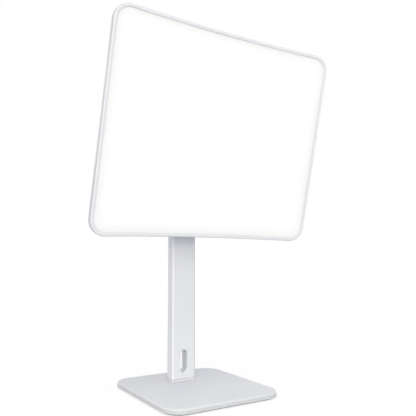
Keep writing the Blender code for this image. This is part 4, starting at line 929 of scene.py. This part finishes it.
def cross_screw(head_radius, head_height, shank_radius, length):
    """A pan-head screw along Z, its shape in shares of its head, whose underside is at zero."""
    crown = 0.8 * head_radius
    outline = [
        (0, head_height), (0.45 * crown, 0.985 * head_height), (0.8 * crown, 0.9 * head_height),
        (crown, 0.74 * head_height), (0.94 * head_radius, 0.5 * head_height),
        (head_radius, 0.2 * head_height), (head_radius, 0), (shank_radius, 0), (shank_radius, -length),
        (0, -length),
    ]
    screw = turned(outline, 40)
    for turn in (0, math.pi / 2):
        blade = bmesh.new()
        bmesh.ops.create_cube(blade, size=1)
        size = (2 * (0.62 * head_radius), 0.17 * head_radius, 1.6 * head_height)
        bmesh.ops.scale(blade, verts=blade.verts, vec=size)
        tip = [vert for vert in blade.verts if vert.co.z < 0]
        bmesh.ops.scale(blade, verts=tip, vec=(0.35, 0.7, 1))
        moved(blade, Matrix.Rotation(turn, 4, "Z"), (0, 0, 1.25 * head_height))
        screw = carve(screw, blade)
    return screw


def screws(name, sizes, body, *nodes):
    """One piece of equal screws at the middles of their nodes, with the heads to the back."""
    pattern = cross_screw(*sizes)
    together = bmesh.new()
    for number, node in enumerate(nodes):
        low, high = head_box(node) if body == "head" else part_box(node)
        spin = Matrix.Rotation(FIRST_TURN + NEXT_TURN * number, 4, "Z")
        place_at = ((low.x + high.x) / 2, high.y - sizes[1], (low.z + high.z) / 2)
        one = moved(pattern.copy(), TO_BACK @ spin, place_at)
        if body == "head":
            one.transform(HEAD)
        together = gather(together, one)
    pattern.free()
    piece(name, together, zinc, body, "zinc_steel", *nodes)


# radius and height of the head, radius and length of the shank
STOP_SCREW = (0.0036, 0.0024, 0.0019, 0.0060)
screws("limit_screw", STOP_SCREW, "stand", "stop_screw")

# %% [markdown]
# ## Carriage
#
# The carriage is a casting: a sleeve round the post, a neck that reaches forward to the hinge, and a boss
# behind for the clamp. The pieces are joined, remeshed in small voxels and smoothed, which melts their joints
# into the soft fillets that a casting has. The bore and the holes are cut afterwards, so they stay sharp.

# %% Sleeve and neck of the carriage
low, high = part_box("carriage")
liner_low, liner_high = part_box("glide_liner")
SLEEVE_WALL = 0.0034
SLEEVE_CORNER = 0.006
SLEEVE_RIM = 0.0014
NECK_ROOT = (0.040, 0.056)
NECK_END = (0.0236, 0.0190)
NECK_CORNER = 0.007
NECK_STATIONS = 14
NECK_STRAIGHT = 0.0142
sleeve_size = (high.x - low.x, liner_high.y - liner_low.y + 2 * (SLEEVE_WALL + SEAT_GAP))
sleeve_middle = (low.z + high.z) / 2
casting, bottom, top = slab(*sleeve_size, SLEEVE_CORNER, low.z, high.z, 12, post_centre)
soften(casting, rims(top, bottom), SLEEVE_RIM, 4)


def ease(share):
    """A smooth step from 0 to 1."""
    share = min(max(share, 0), 1)
    return share * share * (3 - 2 * share)


root = post_middle.y - sleeve_size[1] / 2 + SLEEVE_WALL / 2
neck_length = root - hinge_place.y
neck, tail, face = slab(*NECK_ROOT, NECK_CORNER, -0.001, 0, 8)
bmesh.ops.delete(neck, geom=[tail], context="FACES_ONLY")
bmesh.ops.holes_fill(neck, edges=neck.edges)
previous = (1.0, 1.0, 0.0)
for station in range(1, NECK_STATIONS + 1):
    share = 1 - station / NECK_STATIONS
    widening = ease((neck_length * share - NECK_STRAIGHT) / (neck_length - NECK_STRAIGHT))
    wide = (NECK_END[0] + (NECK_ROOT[0] - NECK_END[0]) * widening) / NECK_ROOT[0]
    tall = (NECK_END[1] + (NECK_ROOT[1] - NECK_END[1]) * ease(share)) / NECK_ROOT[1]
    rise = (hinge_place.z - sleeve_middle) * (1 - ease(share))
    face = pushed(neck, face, neck_length / NECK_STATIONS)
    middle = Vector((0, previous[2], 0))
    scale = (wide / previous[0], tall / previous[1], 1)
    bmesh.ops.scale(neck, verts=face.verts, vec=scale, space=Matrix.Translation(-middle))
    bmesh.ops.translate(neck, verts=face.verts, vec=(0, rise - previous[2], 0))
    previous = (wide, tall, rise)
moved(outwards(neck), TO_FRONT, (0, root, sleeve_middle))
print("neck:", round(1000 * neck_length, 1), "mm long")

# %% Knuckle and boss, and one casting of all
KNUCKLE_RADIUS = 0.011
KNUCKLE_WIDTH = 0.026
KNUCKLE_ROUND = 0.0012
BOSS_RADIUS = 0.0095
BOSS_ROOT = 0.003
VOXEL = 0.0009
SMOOTHING_ROUNDS = 6
LINER_CORNER = 0.0039
SCREW_HOLE = 0.00306
INSERT_HOLE = 0.0063
half = KNUCKLE_WIDTH / 2
outline = [
    (0, -half), (KNUCKLE_RADIUS - KNUCKLE_ROUND, -half), (KNUCKLE_RADIUS, KNUCKLE_ROUND - half),
    (KNUCKLE_RADIUS, half - KNUCKLE_ROUND), (KNUCKLE_RADIUS - KNUCKLE_ROUND, half), (0, half),
]
knuckle = moved(turned(outline, 64), TO_RIGHT, hinge_place)
boss = moved(bar(BOSS_RADIUS, post_depth / 2 + BOSS_ROOT, high.y - post_middle.y), TO_BACK)
moved(boss, to=(0, post_middle.y, sleeve_middle))
for part in (neck, knuckle, boss):
    casting = carve(casting, part, "UNION")

holder = as_object("casting", casting)
voxels = holder.modifiers.new("voxels", "REMESH")
voxels.mode = "VOXEL"
voxels.voxel_size = VOXEL
casting = evaluated(holder)
for _ in range(SMOOTHING_ROUNDS):
    bmesh.ops.smooth_vert(
        casting, verts=casting.verts, factor=0.5, use_axis_x=True, use_axis_y=True, use_axis_z=True
    )
liner_size = (liner_high.x - liner_low.x, liner_high.y - liner_low.y)
bore_size = [size + 2 * SEAT_GAP for size in liner_size]
bore, bottom, top = slab(
    *bore_size, LINER_CORNER + SEAT_GAP, low.z - SLEEVE_WALL, high.z + SLEEVE_WALL, 8, post_centre
)
bolt_hole = moved(bar(SCREW_HOLE, -KNUCKLE_WIDTH, KNUCKLE_WIDTH), TO_RIGHT, hinge_place)
insert_hole = moved(bar(INSERT_HOLE, 0, 2 * post_depth), TO_BACK, (0, post_middle.y, sleeve_middle))
casting = carve(casting, gather(bore, bolt_hole))
casting = carve(casting, insert_hole)
piece("casting", casting, powder_casting, "carriage", "painted_casting", "carriage", smooth=50)

# %% Plastic liner inside the sleeve
LINER_WALL = 0.0012
liner, bottom, top = slab(*liner_size, LINER_CORNER, liner_low.z, liner_high.z, 8, post_centre)
open_through(liner, bottom, top, LINER_WALL)
piece("glide", liner, moulded_grey, "carriage", "grey_plastic", "glide_liner")

# %% [markdown]
# ## Clamp knob
#
# The knob that holds the height is moulded in one shot: a grip with six shallow lobes for the fingers, a hub
# that bears on the boss, and a shallow dish in its face. A circle gets its lobes by moving each of its
# vertices in or out, and the rest is raising and rounding.

# %% Lobed knob
low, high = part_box("clamp_knob")
KNOB_RADIUS = 0.017
KNOB_LOBE = 0.0016
KNOB_LOBES = 6
KNOB_LENGTH = 0.013
KNOB_ROUND = 0.0022
KNOB_HUB = 0.0085
KNOB_DISH = (0.0105, 0.0008)
KNOB_STEPS = 144
grip = bmesh.new()
bmesh.ops.create_circle(grip, segments=KNOB_STEPS, radius=1, cap_ends=True)
for vert in grip.verts:
    angle = math.atan2(vert.co.y, vert.co.x)
    vert.co *= KNOB_RADIUS - KNOB_LOBE / 2 + KNOB_LOBE / 2 * math.cos(KNOB_LOBES * angle)
raised(grip, grip.faces[:], KNOB_LENGTH)
outwards(grip)
soften(grip, level_edges(grip, 0, KNOB_LENGTH), KNOB_ROUND, 6)
knob_length = high.y - low.y
grip = carve(grip, bar(KNOB_HUB, KNOB_LENGTH - knob_length, KNOB_ROUND), "UNION")
dish_radius, dish_depth = KNOB_DISH
dish = [
    (0, KNOB_LENGTH - dish_depth), (dish_radius - 2 * dish_depth, KNOB_LENGTH - dish_depth),
    (dish_radius, KNOB_LENGTH + dish_depth), (0, KNOB_LENGTH + dish_depth),
]
grip = carve(grip, turned(dish, 64))
screw_low, screw_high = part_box("clamp_screw")
bore_end = screw_high.y - (high.y - KNOB_LENGTH) + SEAT_GAP
grip = carve(grip, bar(SCREW_HOLE + SEAT_GAP, -knob_length, bore_end))
moved(grip, TO_BACK, (0, high.y - KNOB_LENGTH, sleeve_middle))
piece("knob", grip, moulded_grey, "clamp_knob", "grey_plastic", "clamp_knob")

# %% [markdown]
# ## Bezel
#
# The front frame is a C section that runs round the head: a rounded outer edge, a narrow lip over the
# diffuser and a wall that reaches to the back. It starts as a plain slab. Both its faces are inset and sunk
# until only the lip is left between them, and the lip's underside is bridged. Everything in the head is made
# flat and then bowed with the same curve, so that the sheets stay parallel. The photo shows its outline a
# little darker and the crests of its two sides a little paler than its face, so it gets painted shade along
# its outline and a painted highlight along the crests.

# %% Bezel with its lip
HEAD_DEPTH = 0.0093
FRONT_ROUND = 0.0018
BACK_ROUND = 0.0012
LIP_THICKNESS = 0.0011
LIP_ROUND = 0.0003
FRAME_WALL = 0.002
CREST_PLACE = head_width / 2 - 0.0016
CREST_REACH = (0.0005, 0.0010)
CREST_HIGHLIGHT_COLOUR = (0.92, 0.92, 0.95)
OUTLINE_REACH = (0.0006, 0.0012)
OUTLINE_SHADE_COLOUR = (0.61, 0.61, 0.635)
head_back = -(bezel_high.y - HEAD_BOW)


def into_head(bm):
    """Takes a slab, made with its front upwards and zero at the head's back, to its place in the head."""
    bow_head(moved(bm, TO_FRONT, (0, -head_back, 0)))
    bm.transform(HEAD)
    return bm


bezel, bottom, top = slab(head_width, head_height, HEAD_CORNER, 0, HEAD_DEPTH, 16)
soften(bezel, top.edges, FRONT_ROUND, 7)
soften(bezel, bottom.edges, BACK_ROUND, 3)
front = flat_face(bezel, HEAD_DEPTH)
inset(bezel, front, LIP_WIDTH - FRONT_ROUND)
lip_edges = list(front.edges)
lip_floor = pushed(bezel, front, -LIP_THICKNESS)
back = flat_face(bezel, 0)
inset(bezel, back, FRAME_WALL - BACK_ROUND)
wall_floor = pushed(bezel, back, HEAD_DEPTH - LIP_THICKNESS)
loops = rims(lip_floor, wall_floor)
bmesh.ops.delete(bezel, geom=[lip_floor, wall_floor], context="FACES_ONLY")
bmesh.ops.bridge_loops(bezel, edges=loops)
soften(bezel, [edge for edge in lip_edges if edge.is_valid], LIP_ROUND, 3)
outwards(bezel)
# painted highlight: a paler band along the crests of the two sides
for side in (-1, 1):
    shade_by_place(moulded_bezel, (1, 0, 0), side * CREST_PLACE, CREST_REACH, CREST_HIGHLIGHT_COLOUR)
# painted shade: a darker band along the frame's outline
tree = moulded_bezel.node_tree
shade(moulded_bezel, fade(tree, inside_outline(tree, 0.0), OUTLINE_REACH), OUTLINE_SHADE_COLOUR)
piece("bezel", into_head(bezel), moulded_bezel, "head", "white_frame", "front_bezel")

# %% Diffuser, and the panel that closes the back
SHEET_EDGE = 0.0003
sheet_inset = FRAME_WALL + SEAT_GAP
sheet_size = (head_width - 2 * sheet_inset, head_height - 2 * sheet_inset)
# piece, node, material, slot, back and front of the sheet from the head's back
SHEETS = (
    ("glowing_sheet", "diffuser", diffuser_glow, "milky_diffuser", 0.0068, 0.0080),
    ("rear_sheet", "back_panel", moulded_back, "white_frame", 0, 0.0018),
)
for name, node, material, slot_name, sheet_back, sheet_front in SHEETS:
    sheet, bottom, top = slab(*sheet_size, HEAD_CORNER - sheet_inset, sheet_back, sheet_front, 16)
    soften(sheet, rims(top, bottom), SHEET_EDGE, 2)
    piece(name, into_head(sheet), material, "head", slot_name, node)

# %% [markdown]
# ## Housing on the back
#
# The driver, switch and inlet sit in a moulded box with a generous round along its outer edge. It is a slab
# that is softened, hollowed and cut along the bow of the panel that it stands on. Then come the screw wells
# with their small chamfers, the vents and the openings for the switch and the inlet, all in one cut.

# %% Housing, hollow and cut to the bow
low, high = head_box("rear_housing")
HOUSING_CORNER = 0.022
HOUSING_ROUND = 0.006
HOUSING_WALL = 0.0022
OVERRUN = 0.003
housing_back = -high.y
housing_size = (high.x - low.x, high.z - low.z)
housing, bottom, top = slab(*housing_size, HOUSING_CORNER, housing_back, head_back, 14)
soften(housing, bottom.edges, HOUSING_ROUND, 8)
front = flat_face(housing, head_back)
inset(housing, front, HOUSING_WALL)
floor_face = pushed(housing, front, housing_back + HOUSING_WALL - head_back)
soften(housing, floor_face.edges, HOUSING_ROUND - HOUSING_WALL, 4)
moved(housing, TO_FRONT)
cut_size = [size + 2 * OVERRUN for size in housing_size]
panel_cut, bottom, top = slab(
    *cut_size, HOUSING_CORNER + OVERRUN, head_back - SEAT_GAP, head_back + HEAD_BOW, 14
)
housing = carve(housing, bow_head(moved(panel_cut, TO_FRONT)))
print("housing depth:", round(1000 * (high.y - low.y), 1), "mm")

# %% Screw wells, vents and openings
COLUMN_RADIUS = 0.0046
WELL_RADIUS = 0.003
WELL_DEPTH = 0.006
WELL_CHAMFER = 0.0005
VENT_COUNT = 9
VENT_PITCH = 0.008
VENT_SIZE = (0.0026, 0.0095)
INLET_KEEP_OUT = 0.0136
INLET_HOLE = 0.0043
FLANGE_MARGIN = 0.0016
WINDOW_CORNER = 0.0015
housing_screws = [f"housing_screw_{number}" for number in range(1, 5)]
inlet_low, inlet_high = head_box("power_inlet")
inlet_centre = (inlet_low + inlet_high) / 2
switch_low, switch_high = head_box("switch_frame")
switch_centre = (switch_low + switch_high) / 2
flange_size = (switch_high.x - switch_low.x, switch_high.z - switch_low.z)
columns = []
tools = []
for node in housing_screws:
    well_low, well_high = head_box(node)
    spot = ((well_low.x + well_high.x) / 2, 0, (well_low.z + well_high.z) / 2)
    bowed = HEAD_BOW * (1 - (2 * spot[0] / head_width) ** 2)
    column_end = head_back - bowed - 2 * SEAT_GAP
    column = bar(COLUMN_RADIUS, -column_end, -housing_back - HOUSING_WALL / 2, 32)
    columns.append(moved(column, TO_BACK, spot))
    well = bar(WELL_RADIUS, -housing_back - WELL_DEPTH, -housing_back, 40, WELL_CHAMFER)
    tools.append(moved(well, TO_BACK, spot))
housing = carve(housing, gather(*columns), "UNION")
for end in (-1, 1):
    for number in range(VENT_COUNT):
        across = (number - (VENT_COUNT - 1) / 2) * VENT_PITCH
        if end < 0 and abs(across - inlet_centre.x) < INLET_KEEP_OUT:
            continue
        vent = round_slot(*VENT_SIZE, -HOUSING_WALL - OVERRUN, OVERRUN, 8)
        tools.append(moved(vent, to=(across, inlet_centre.y, end * (housing_size[1] / 2))))
below = -housing_size[1] / 2
inlet_hole = bar(INLET_HOLE, below - OVERRUN, below + HOUSING_WALL + OVERRUN)
tools.append(moved(inlet_hole, to=(inlet_centre.x, inlet_centre.y, 0)))
window_size = [size - 2 * FLANGE_MARGIN + 2 * SEAT_GAP for size in flange_size]
window, bottom, top = slab(
    *window_size, WINDOW_CORNER, housing_back - OVERRUN, housing_back + HOUSING_WALL + OVERRUN, 5
)
tools.append(moved(window, TO_FRONT, (switch_centre.x, 0, switch_centre.z)))
housing = carve(housing, gather(*tools))
housing.transform(HEAD)
piece("housing", housing, moulded_white, "head", "white_plastic", "rear_housing", smooth=30)

# %% Screws of the housing
WELL_SCREW = (0.0027, 0.0018, 0.0014, 0.014)
screws("well_screws", WELL_SCREW, "head", *housing_screws)

# %% [markdown]
# ## Hinge
#
# A bracket of folded steel is screwed to the housing. Its two ears hold the casting's round end between
# washers, and one bolt with a lock nut presses them together, so the head stays where it is pushed.

# %% Folded bracket and its screws
low, high = head_box("hinge_bracket")
BRACKET_THICKNESS = 0.0025
BRACKET_CORNER = 0.008
BRACKET_EDGE = 0.0004
EAR_INSIDE = 0.0146
PLATE_SCREW = (0.0038, 0.0022, 0.0020, 0.0077)
ear_radius = high.y
ear_outside = EAR_INSIDE + BRACKET_THICKNESS
plate_middle = low.y + BRACKET_THICKNESS / 2
bracket, bottom, top = slab(
    high.x - low.x, high.z - low.z, BRACKET_CORNER, -low.y - BRACKET_THICKNESS, -low.y, 10
)
soften(bracket, rims(top, bottom), BRACKET_EDGE, 3)
moved(bracket, TO_FRONT)
strap_length = 2 * (ear_radius - low.y)
for turn in (TO_LEFT, TO_RIGHT):
    strap = round_slot(2 * ear_radius, strap_length, EAR_INSIDE, ear_outside, 20)
    soften(strap, level_edges(strap, EAR_INSIDE, ear_outside), BRACKET_EDGE, 3)
    moved(strap, turn, (0, ear_radius - strap_length / 2, 0))
    everything = strap.verts[:] + strap.edges[:] + strap.faces[:]
    bmesh.ops.bisect_plane(
        strap, geom=everything, dist=MERGE, plane_co=(0, plate_middle, 0), plane_no=(0, -1, 0),
        clear_outer=True,
    )
    bmesh.ops.holes_fill(strap, edges=strap.edges)
    bracket = carve(bracket, outwards(strap), "UNION")
bracket = carve(bracket, moved(bar(SCREW_HOLE, -high.x, high.x), TO_RIGHT))
bracket.transform(HEAD)
piece("bracket", bracket, powder_base, "head", "painted_steel", "hinge_bracket", smooth=30)
screws("plate_screws", PLATE_SCREW, "head", *[f"bracket_screw_{number}" for number in range(1, 5)])

# %% Bolt
low, high = head_box("hinge_bolt")
BOLT_RADIUS = 0.003
BOLT_HEAD = (0.0055, 0.0034)
SOCKET = (0.0023, 0.002)
head_radius, head_length = BOLT_HEAD
outline = [
    (0, high.x), (0.62 * head_radius, high.x), (0.86 * head_radius, high.x - 0.16 * head_length),
    (0.97 * head_radius, high.x - 0.42 * head_length), (head_radius, high.x - 0.75 * head_length),
    (head_radius, high.x - head_length), (BOLT_RADIUS, high.x - head_length),
    (BOLT_RADIUS, low.x + 0.2 * BOLT_RADIUS), (0.8 * BOLT_RADIUS, low.x), (0, low.x),
]
key = moved(hexagon(SOCKET[0], 2 * SOCKET[1]), to=(0, 0, high.x - SOCKET[1]))
bolt = carve(turned(outline, 48), key)
bolt.transform(HEAD @ TO_RIGHT)
piece("pivot_bolt", bolt, zinc, "head", "zinc_steel", "hinge_bolt")

# %% Lock nut and washers
low, high = head_box("hinge_nut")
NUT_RADIUS = 0.0058
NUT_COLLAR = 0.0013
WASHER_EDGE = 0.00025
nut_height = high.x - low.x
outline = [
    (0, 0), (0.87 * NUT_RADIUS, 0), (NUT_RADIUS, 0.1 * nut_height),
    (NUT_RADIUS, nut_height - NUT_COLLAR - 0.1 * nut_height), (0.84 * NUT_RADIUS, nut_height - NUT_COLLAR),
    (0.8 * NUT_RADIUS, nut_height - 0.3 * NUT_COLLAR), (0.7 * NUT_RADIUS, nut_height), (0, nut_height),
]
nut = carve(hexagon(NUT_RADIUS, nut_height), turned(outline, 64), "INTERSECT")
nut = carve(nut, bar(SCREW_HOLE, -nut_height, 2 * nut_height))
nut.transform(HEAD @ Matrix.Translation((high.x, 0, 0)) @ TO_LEFT)
piece("pivot_nut", nut, zinc, "head", "zinc_steel", "hinge_nut")

for name in ("left", "right"):
    low, high = head_box(f"hinge_washer_{name}")
    radius = (high.z - low.z) / 2
    outline = [
        (SCREW_HOLE, low.x), (radius, low.x), (radius, high.x), (SCREW_HOLE, high.x), (SCREW_HOLE, low.x),
    ]
    washer = turned(outline, 64)
    soften(washer, level_edges(washer, low.x, high.x), WASHER_EDGE, 2)
    washer.transform(HEAD @ TO_RIGHT)
    piece(f"washer_{name}", washer, zinc, "head", "zinc_steel", f"hinge_washer_{name}")

# %% [markdown]
# ## Switch and inlet
#
# The switch is a bought part that snaps into its window: a shallow black rim round a rocker with a hollow
# face. The rocker has a frame of its own, tipped further than the head. The two signs on it are the plain bar
# and ring that such switches have.

# %% Rim of the switch
FLANGE_CORNER = 0.0028
FLANGE_ROUND = 0.0006
SWITCH_WALL = 0.0013
flange_back = -switch_high.y
body_front = -switch_low.y
flange_front = housing_back - SEAT_GAP
rim, bottom, top = slab(*flange_size, FLANGE_CORNER, flange_back, flange_front, 6)
soften(rim, bottom.edges, FLANGE_ROUND, 4)
inner = flat_face(rim, flange_back)
inset(rim, inner, FLANGE_MARGIN + SWITCH_WALL - FLANGE_ROUND)
pushed(rim, inner, body_front - SWITCH_WALL - flange_back)
outer = flat_face(rim, flange_front)
inset(rim, outer, FLANGE_MARGIN)
pushed(rim, outer, body_front - flange_front)
moved(outwards(rim), TO_FRONT, (switch_centre.x, 0, switch_centre.z))
rim.transform(HEAD)
piece("switch_rim", rim, moulded_black, "head", "black_plastic", "switch_frame")

# %% Outline of the rocker
ROCKER_TIP = math.radians(8)
ROCKER_REACH = 0.00805
ROCKER_FACE = 0.0034
ROCKER_FOOT = 0.0026
FACE_STEPS = 12
END_STEPS = 6
end_angle = math.asin(ROCKER_FACE / ROCKER_REACH)
foot_angle = -math.asin(ROCKER_FOOT / ROCKER_REACH)
end_rise = ROCKER_REACH * math.cos(end_angle)
hollow = ROCKER_REACH * math.tan(ROCKER_TIP) / 2


def face_place(rise):
    """Depth of the rocker's hollow face at a height above its middle."""
    return ROCKER_FACE - hollow * math.cos(math.pi / 2 * rise / end_rise)


rises = [end_rise * (1 - 2 * step / FACE_STEPS) for step in range(FACE_STEPS + 1)]
angles = [end_angle + (foot_angle - end_angle) * step / END_STEPS for step in range(1, END_STEPS + 1)]
round_end = [(ROCKER_REACH * math.sin(angle), ROCKER_REACH * math.cos(angle)) for angle in angles]
profile = [(face_place(rise), rise) for rise in rises]
profile += [(depth, -rise) for depth, rise in round_end]
profile += [(depth, rise) for depth, rise in reversed(round_end)]
print("rocker:", len(profile), "points,", round(2000 * end_rise, 1), "mm long")

# %% Rocker with its two signs
ROCKER_HALF = 0.00455
ROCKER_EDGE = 0.0004
SIGN_RISE = 0.0042
SIGN_SIZE = 0.0011
SIGN_LINE = 0.00035
SIGN_DEPTH = 0.0003
SIGN_LEAN = math.radians(5)
rocker = bmesh.new()
rocker.faces.new([rocker.verts.new((-ROCKER_HALF, depth, rise)) for depth, rise in profile])
raised(rocker, rocker.faces[:], 2 * ROCKER_HALF, (1, 0, 0))
outwards(rocker)
sides = [
    edge for edge in rocker.edges
    if abs(abs(edge.verts[0].co.x + edge.verts[1].co.x) / 2 - ROCKER_HALF) < MERGE
]
soften(rocker, sides, ROCKER_EDGE, 3)
sign_place = face_place(SIGN_RISE) - SIGN_DEPTH * 0.8
line = bmesh.new()
bmesh.ops.create_cube(line, size=1)
bmesh.ops.scale(line, verts=line.verts, vec=(SIGN_LINE, 2 * SIGN_DEPTH, 2 * SIGN_SIZE))
moved(line, Matrix.Rotation(-SIGN_LEAN, 4, "X"), (0, sign_place, SIGN_RISE))
hole = SIGN_SIZE - SIGN_LINE
outline = [
    (hole, -SIGN_DEPTH), (SIGN_SIZE, -SIGN_DEPTH), (SIGN_SIZE, SIGN_DEPTH), (hole, SIGN_DEPTH),
    (hole, -SIGN_DEPTH),
]
ring = moved(turned(outline, 32), Matrix.Rotation(SIGN_LEAN, 4, "X") @ TO_BACK, (0, sign_place, -SIGN_RISE))
signs = gather(line, ring)
for part, number in ((rocker, 0), (signs, 1)):
    for face in part.faces:
        face.material_index = number
rocker = gather(rocker, signs)
tipped = Matrix.Translation(joints["rocker_tip"]["pos_m"]) @ Matrix.Rotation(HEAD_TILT + ROCKER_TIP, 4, "X")
rocker.transform(tipped)
made = piece("rocker_cap", rocker, moulded_black, "rocker", "black_plastic", "switch_rocker")
made.data.materials.append(moulded_white)

# %% Power inlet
BARREL = 0.0040
BORE = 0.0028
PIN = 0.0010
INLET_FLANGE = 0.0056
INLET_FLANGE_DEPTH = 0.0014
BORE_DEPTH = 0.0095
CHAMFER = 0.0004
outer = -inlet_low.z
barrel_end = -inlet_high.z
shoulder = outer - INLET_FLANGE_DEPTH
outline = [
    (0, barrel_end), (BARREL, barrel_end), (BARREL, shoulder), (INLET_FLANGE, shoulder),
    (INLET_FLANGE, outer - CHAMFER), (INLET_FLANGE - CHAMFER, outer), (BORE + CHAMFER, outer),
    (BORE, outer - CHAMFER), (BORE, outer - BORE_DEPTH), (PIN, outer - BORE_DEPTH), (PIN, shoulder - CHAMFER),
    (PIN / 2, shoulder), (0, shoulder),
]
inlet = moved(turned(outline, 48), Matrix.Rotation(math.pi, 4, "X"), (inlet_centre.x, inlet_centre.y, 0))
inlet.transform(HEAD)
piece("inlet", inlet, moulded_black, "head", "black_plastic", "power_inlet")

# %% [markdown]
# ## Pieces that stay as they are
#
# What is inside the head, the sleeve and the post already has its shape. These nodes only get a material. The
# light guide is clear acrylic with a fine pattern of dots, and the board has lacquered tracks.

# %% Materials for the nodes that stay
DOT_SCALE = 700.0
DOT_RADIUS = 0.28
DOT_COLOURS = ((0.86, 0.90, 0.92), (0.95, 0.96, 0.97))
ACRYLIC_IOR = 1.49
TRACK_SCALE = 260.0
TRACK_GAP = 0.12
TRACK_HEIGHT = 0.00003
TRACK_COLOURS = ((0.03, 0.15, 0.07), (0.05, 0.24, 0.11))
clear_acrylic, tree, shader = new_material("clear_acrylic")
where = add(tree, "TexCoord").outputs["Object"]
dots = add(tree, "TexVoronoi", {"Vector": where, "Scale": DOT_SCALE, "Randomness": 0.1})
speck = maths(tree, "LESS_THAN", dots.outputs["Distance"], DOT_RADIUS)
put(tree, shader["Roughness"], maths(tree, "MULTIPLY_ADD", speck, 0.4, 0.06))
put(tree, shader["Base Color"], mixed(tree, speck, *DOT_COLOURS))
shader["Transmission Weight"].default_value = 0.9
shader["IOR"].default_value = ACRYLIC_IOR

green_board, tree, shader = new_material("green_board")
where = add(tree, "TexCoord").outputs["Object"]
tracks = add(tree, "TexVoronoi", feature="DISTANCE_TO_EDGE", distance="CHEBYCHEV")
put(tree, tracks.inputs["Vector"], where)
put(tree, tracks.inputs["Scale"], TRACK_SCALE)
track = maths(tree, "GREATER_THAN", tracks.outputs["Distance"], TRACK_GAP)
put(tree, shader["Base Color"], mixed(tree, track, *TRACK_COLOURS))
put(tree, shader["Roughness"], maths(tree, "MULTIPLY_ADD", track, 0.1, 0.35))
emboss(tree, shader, track, TRACK_HEIGHT)

DRESSED = {
    "light_guide": clear_acrylic,
    "driver_board": green_board,
    "reflector_sheet": white_film,
    "led_bar_left": light_strip,
    "led_bar_right": light_strip,
    "clamp_shoe": moulded_grey,
    "thread_insert": brass,
}
replaced = {node for obj in bpy.data.objects for node in obj.get("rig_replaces", [])}
for name, node in frame["nodes"].items():
    if name in replaced:
        continue
    chosen = DRESSED.get(name, zinc)
    if not node.material_slots:
        node.data.materials.append(chosen)
    for slot in node.material_slots:
        slot.material = chosen
    print(name, "->", chosen.name)
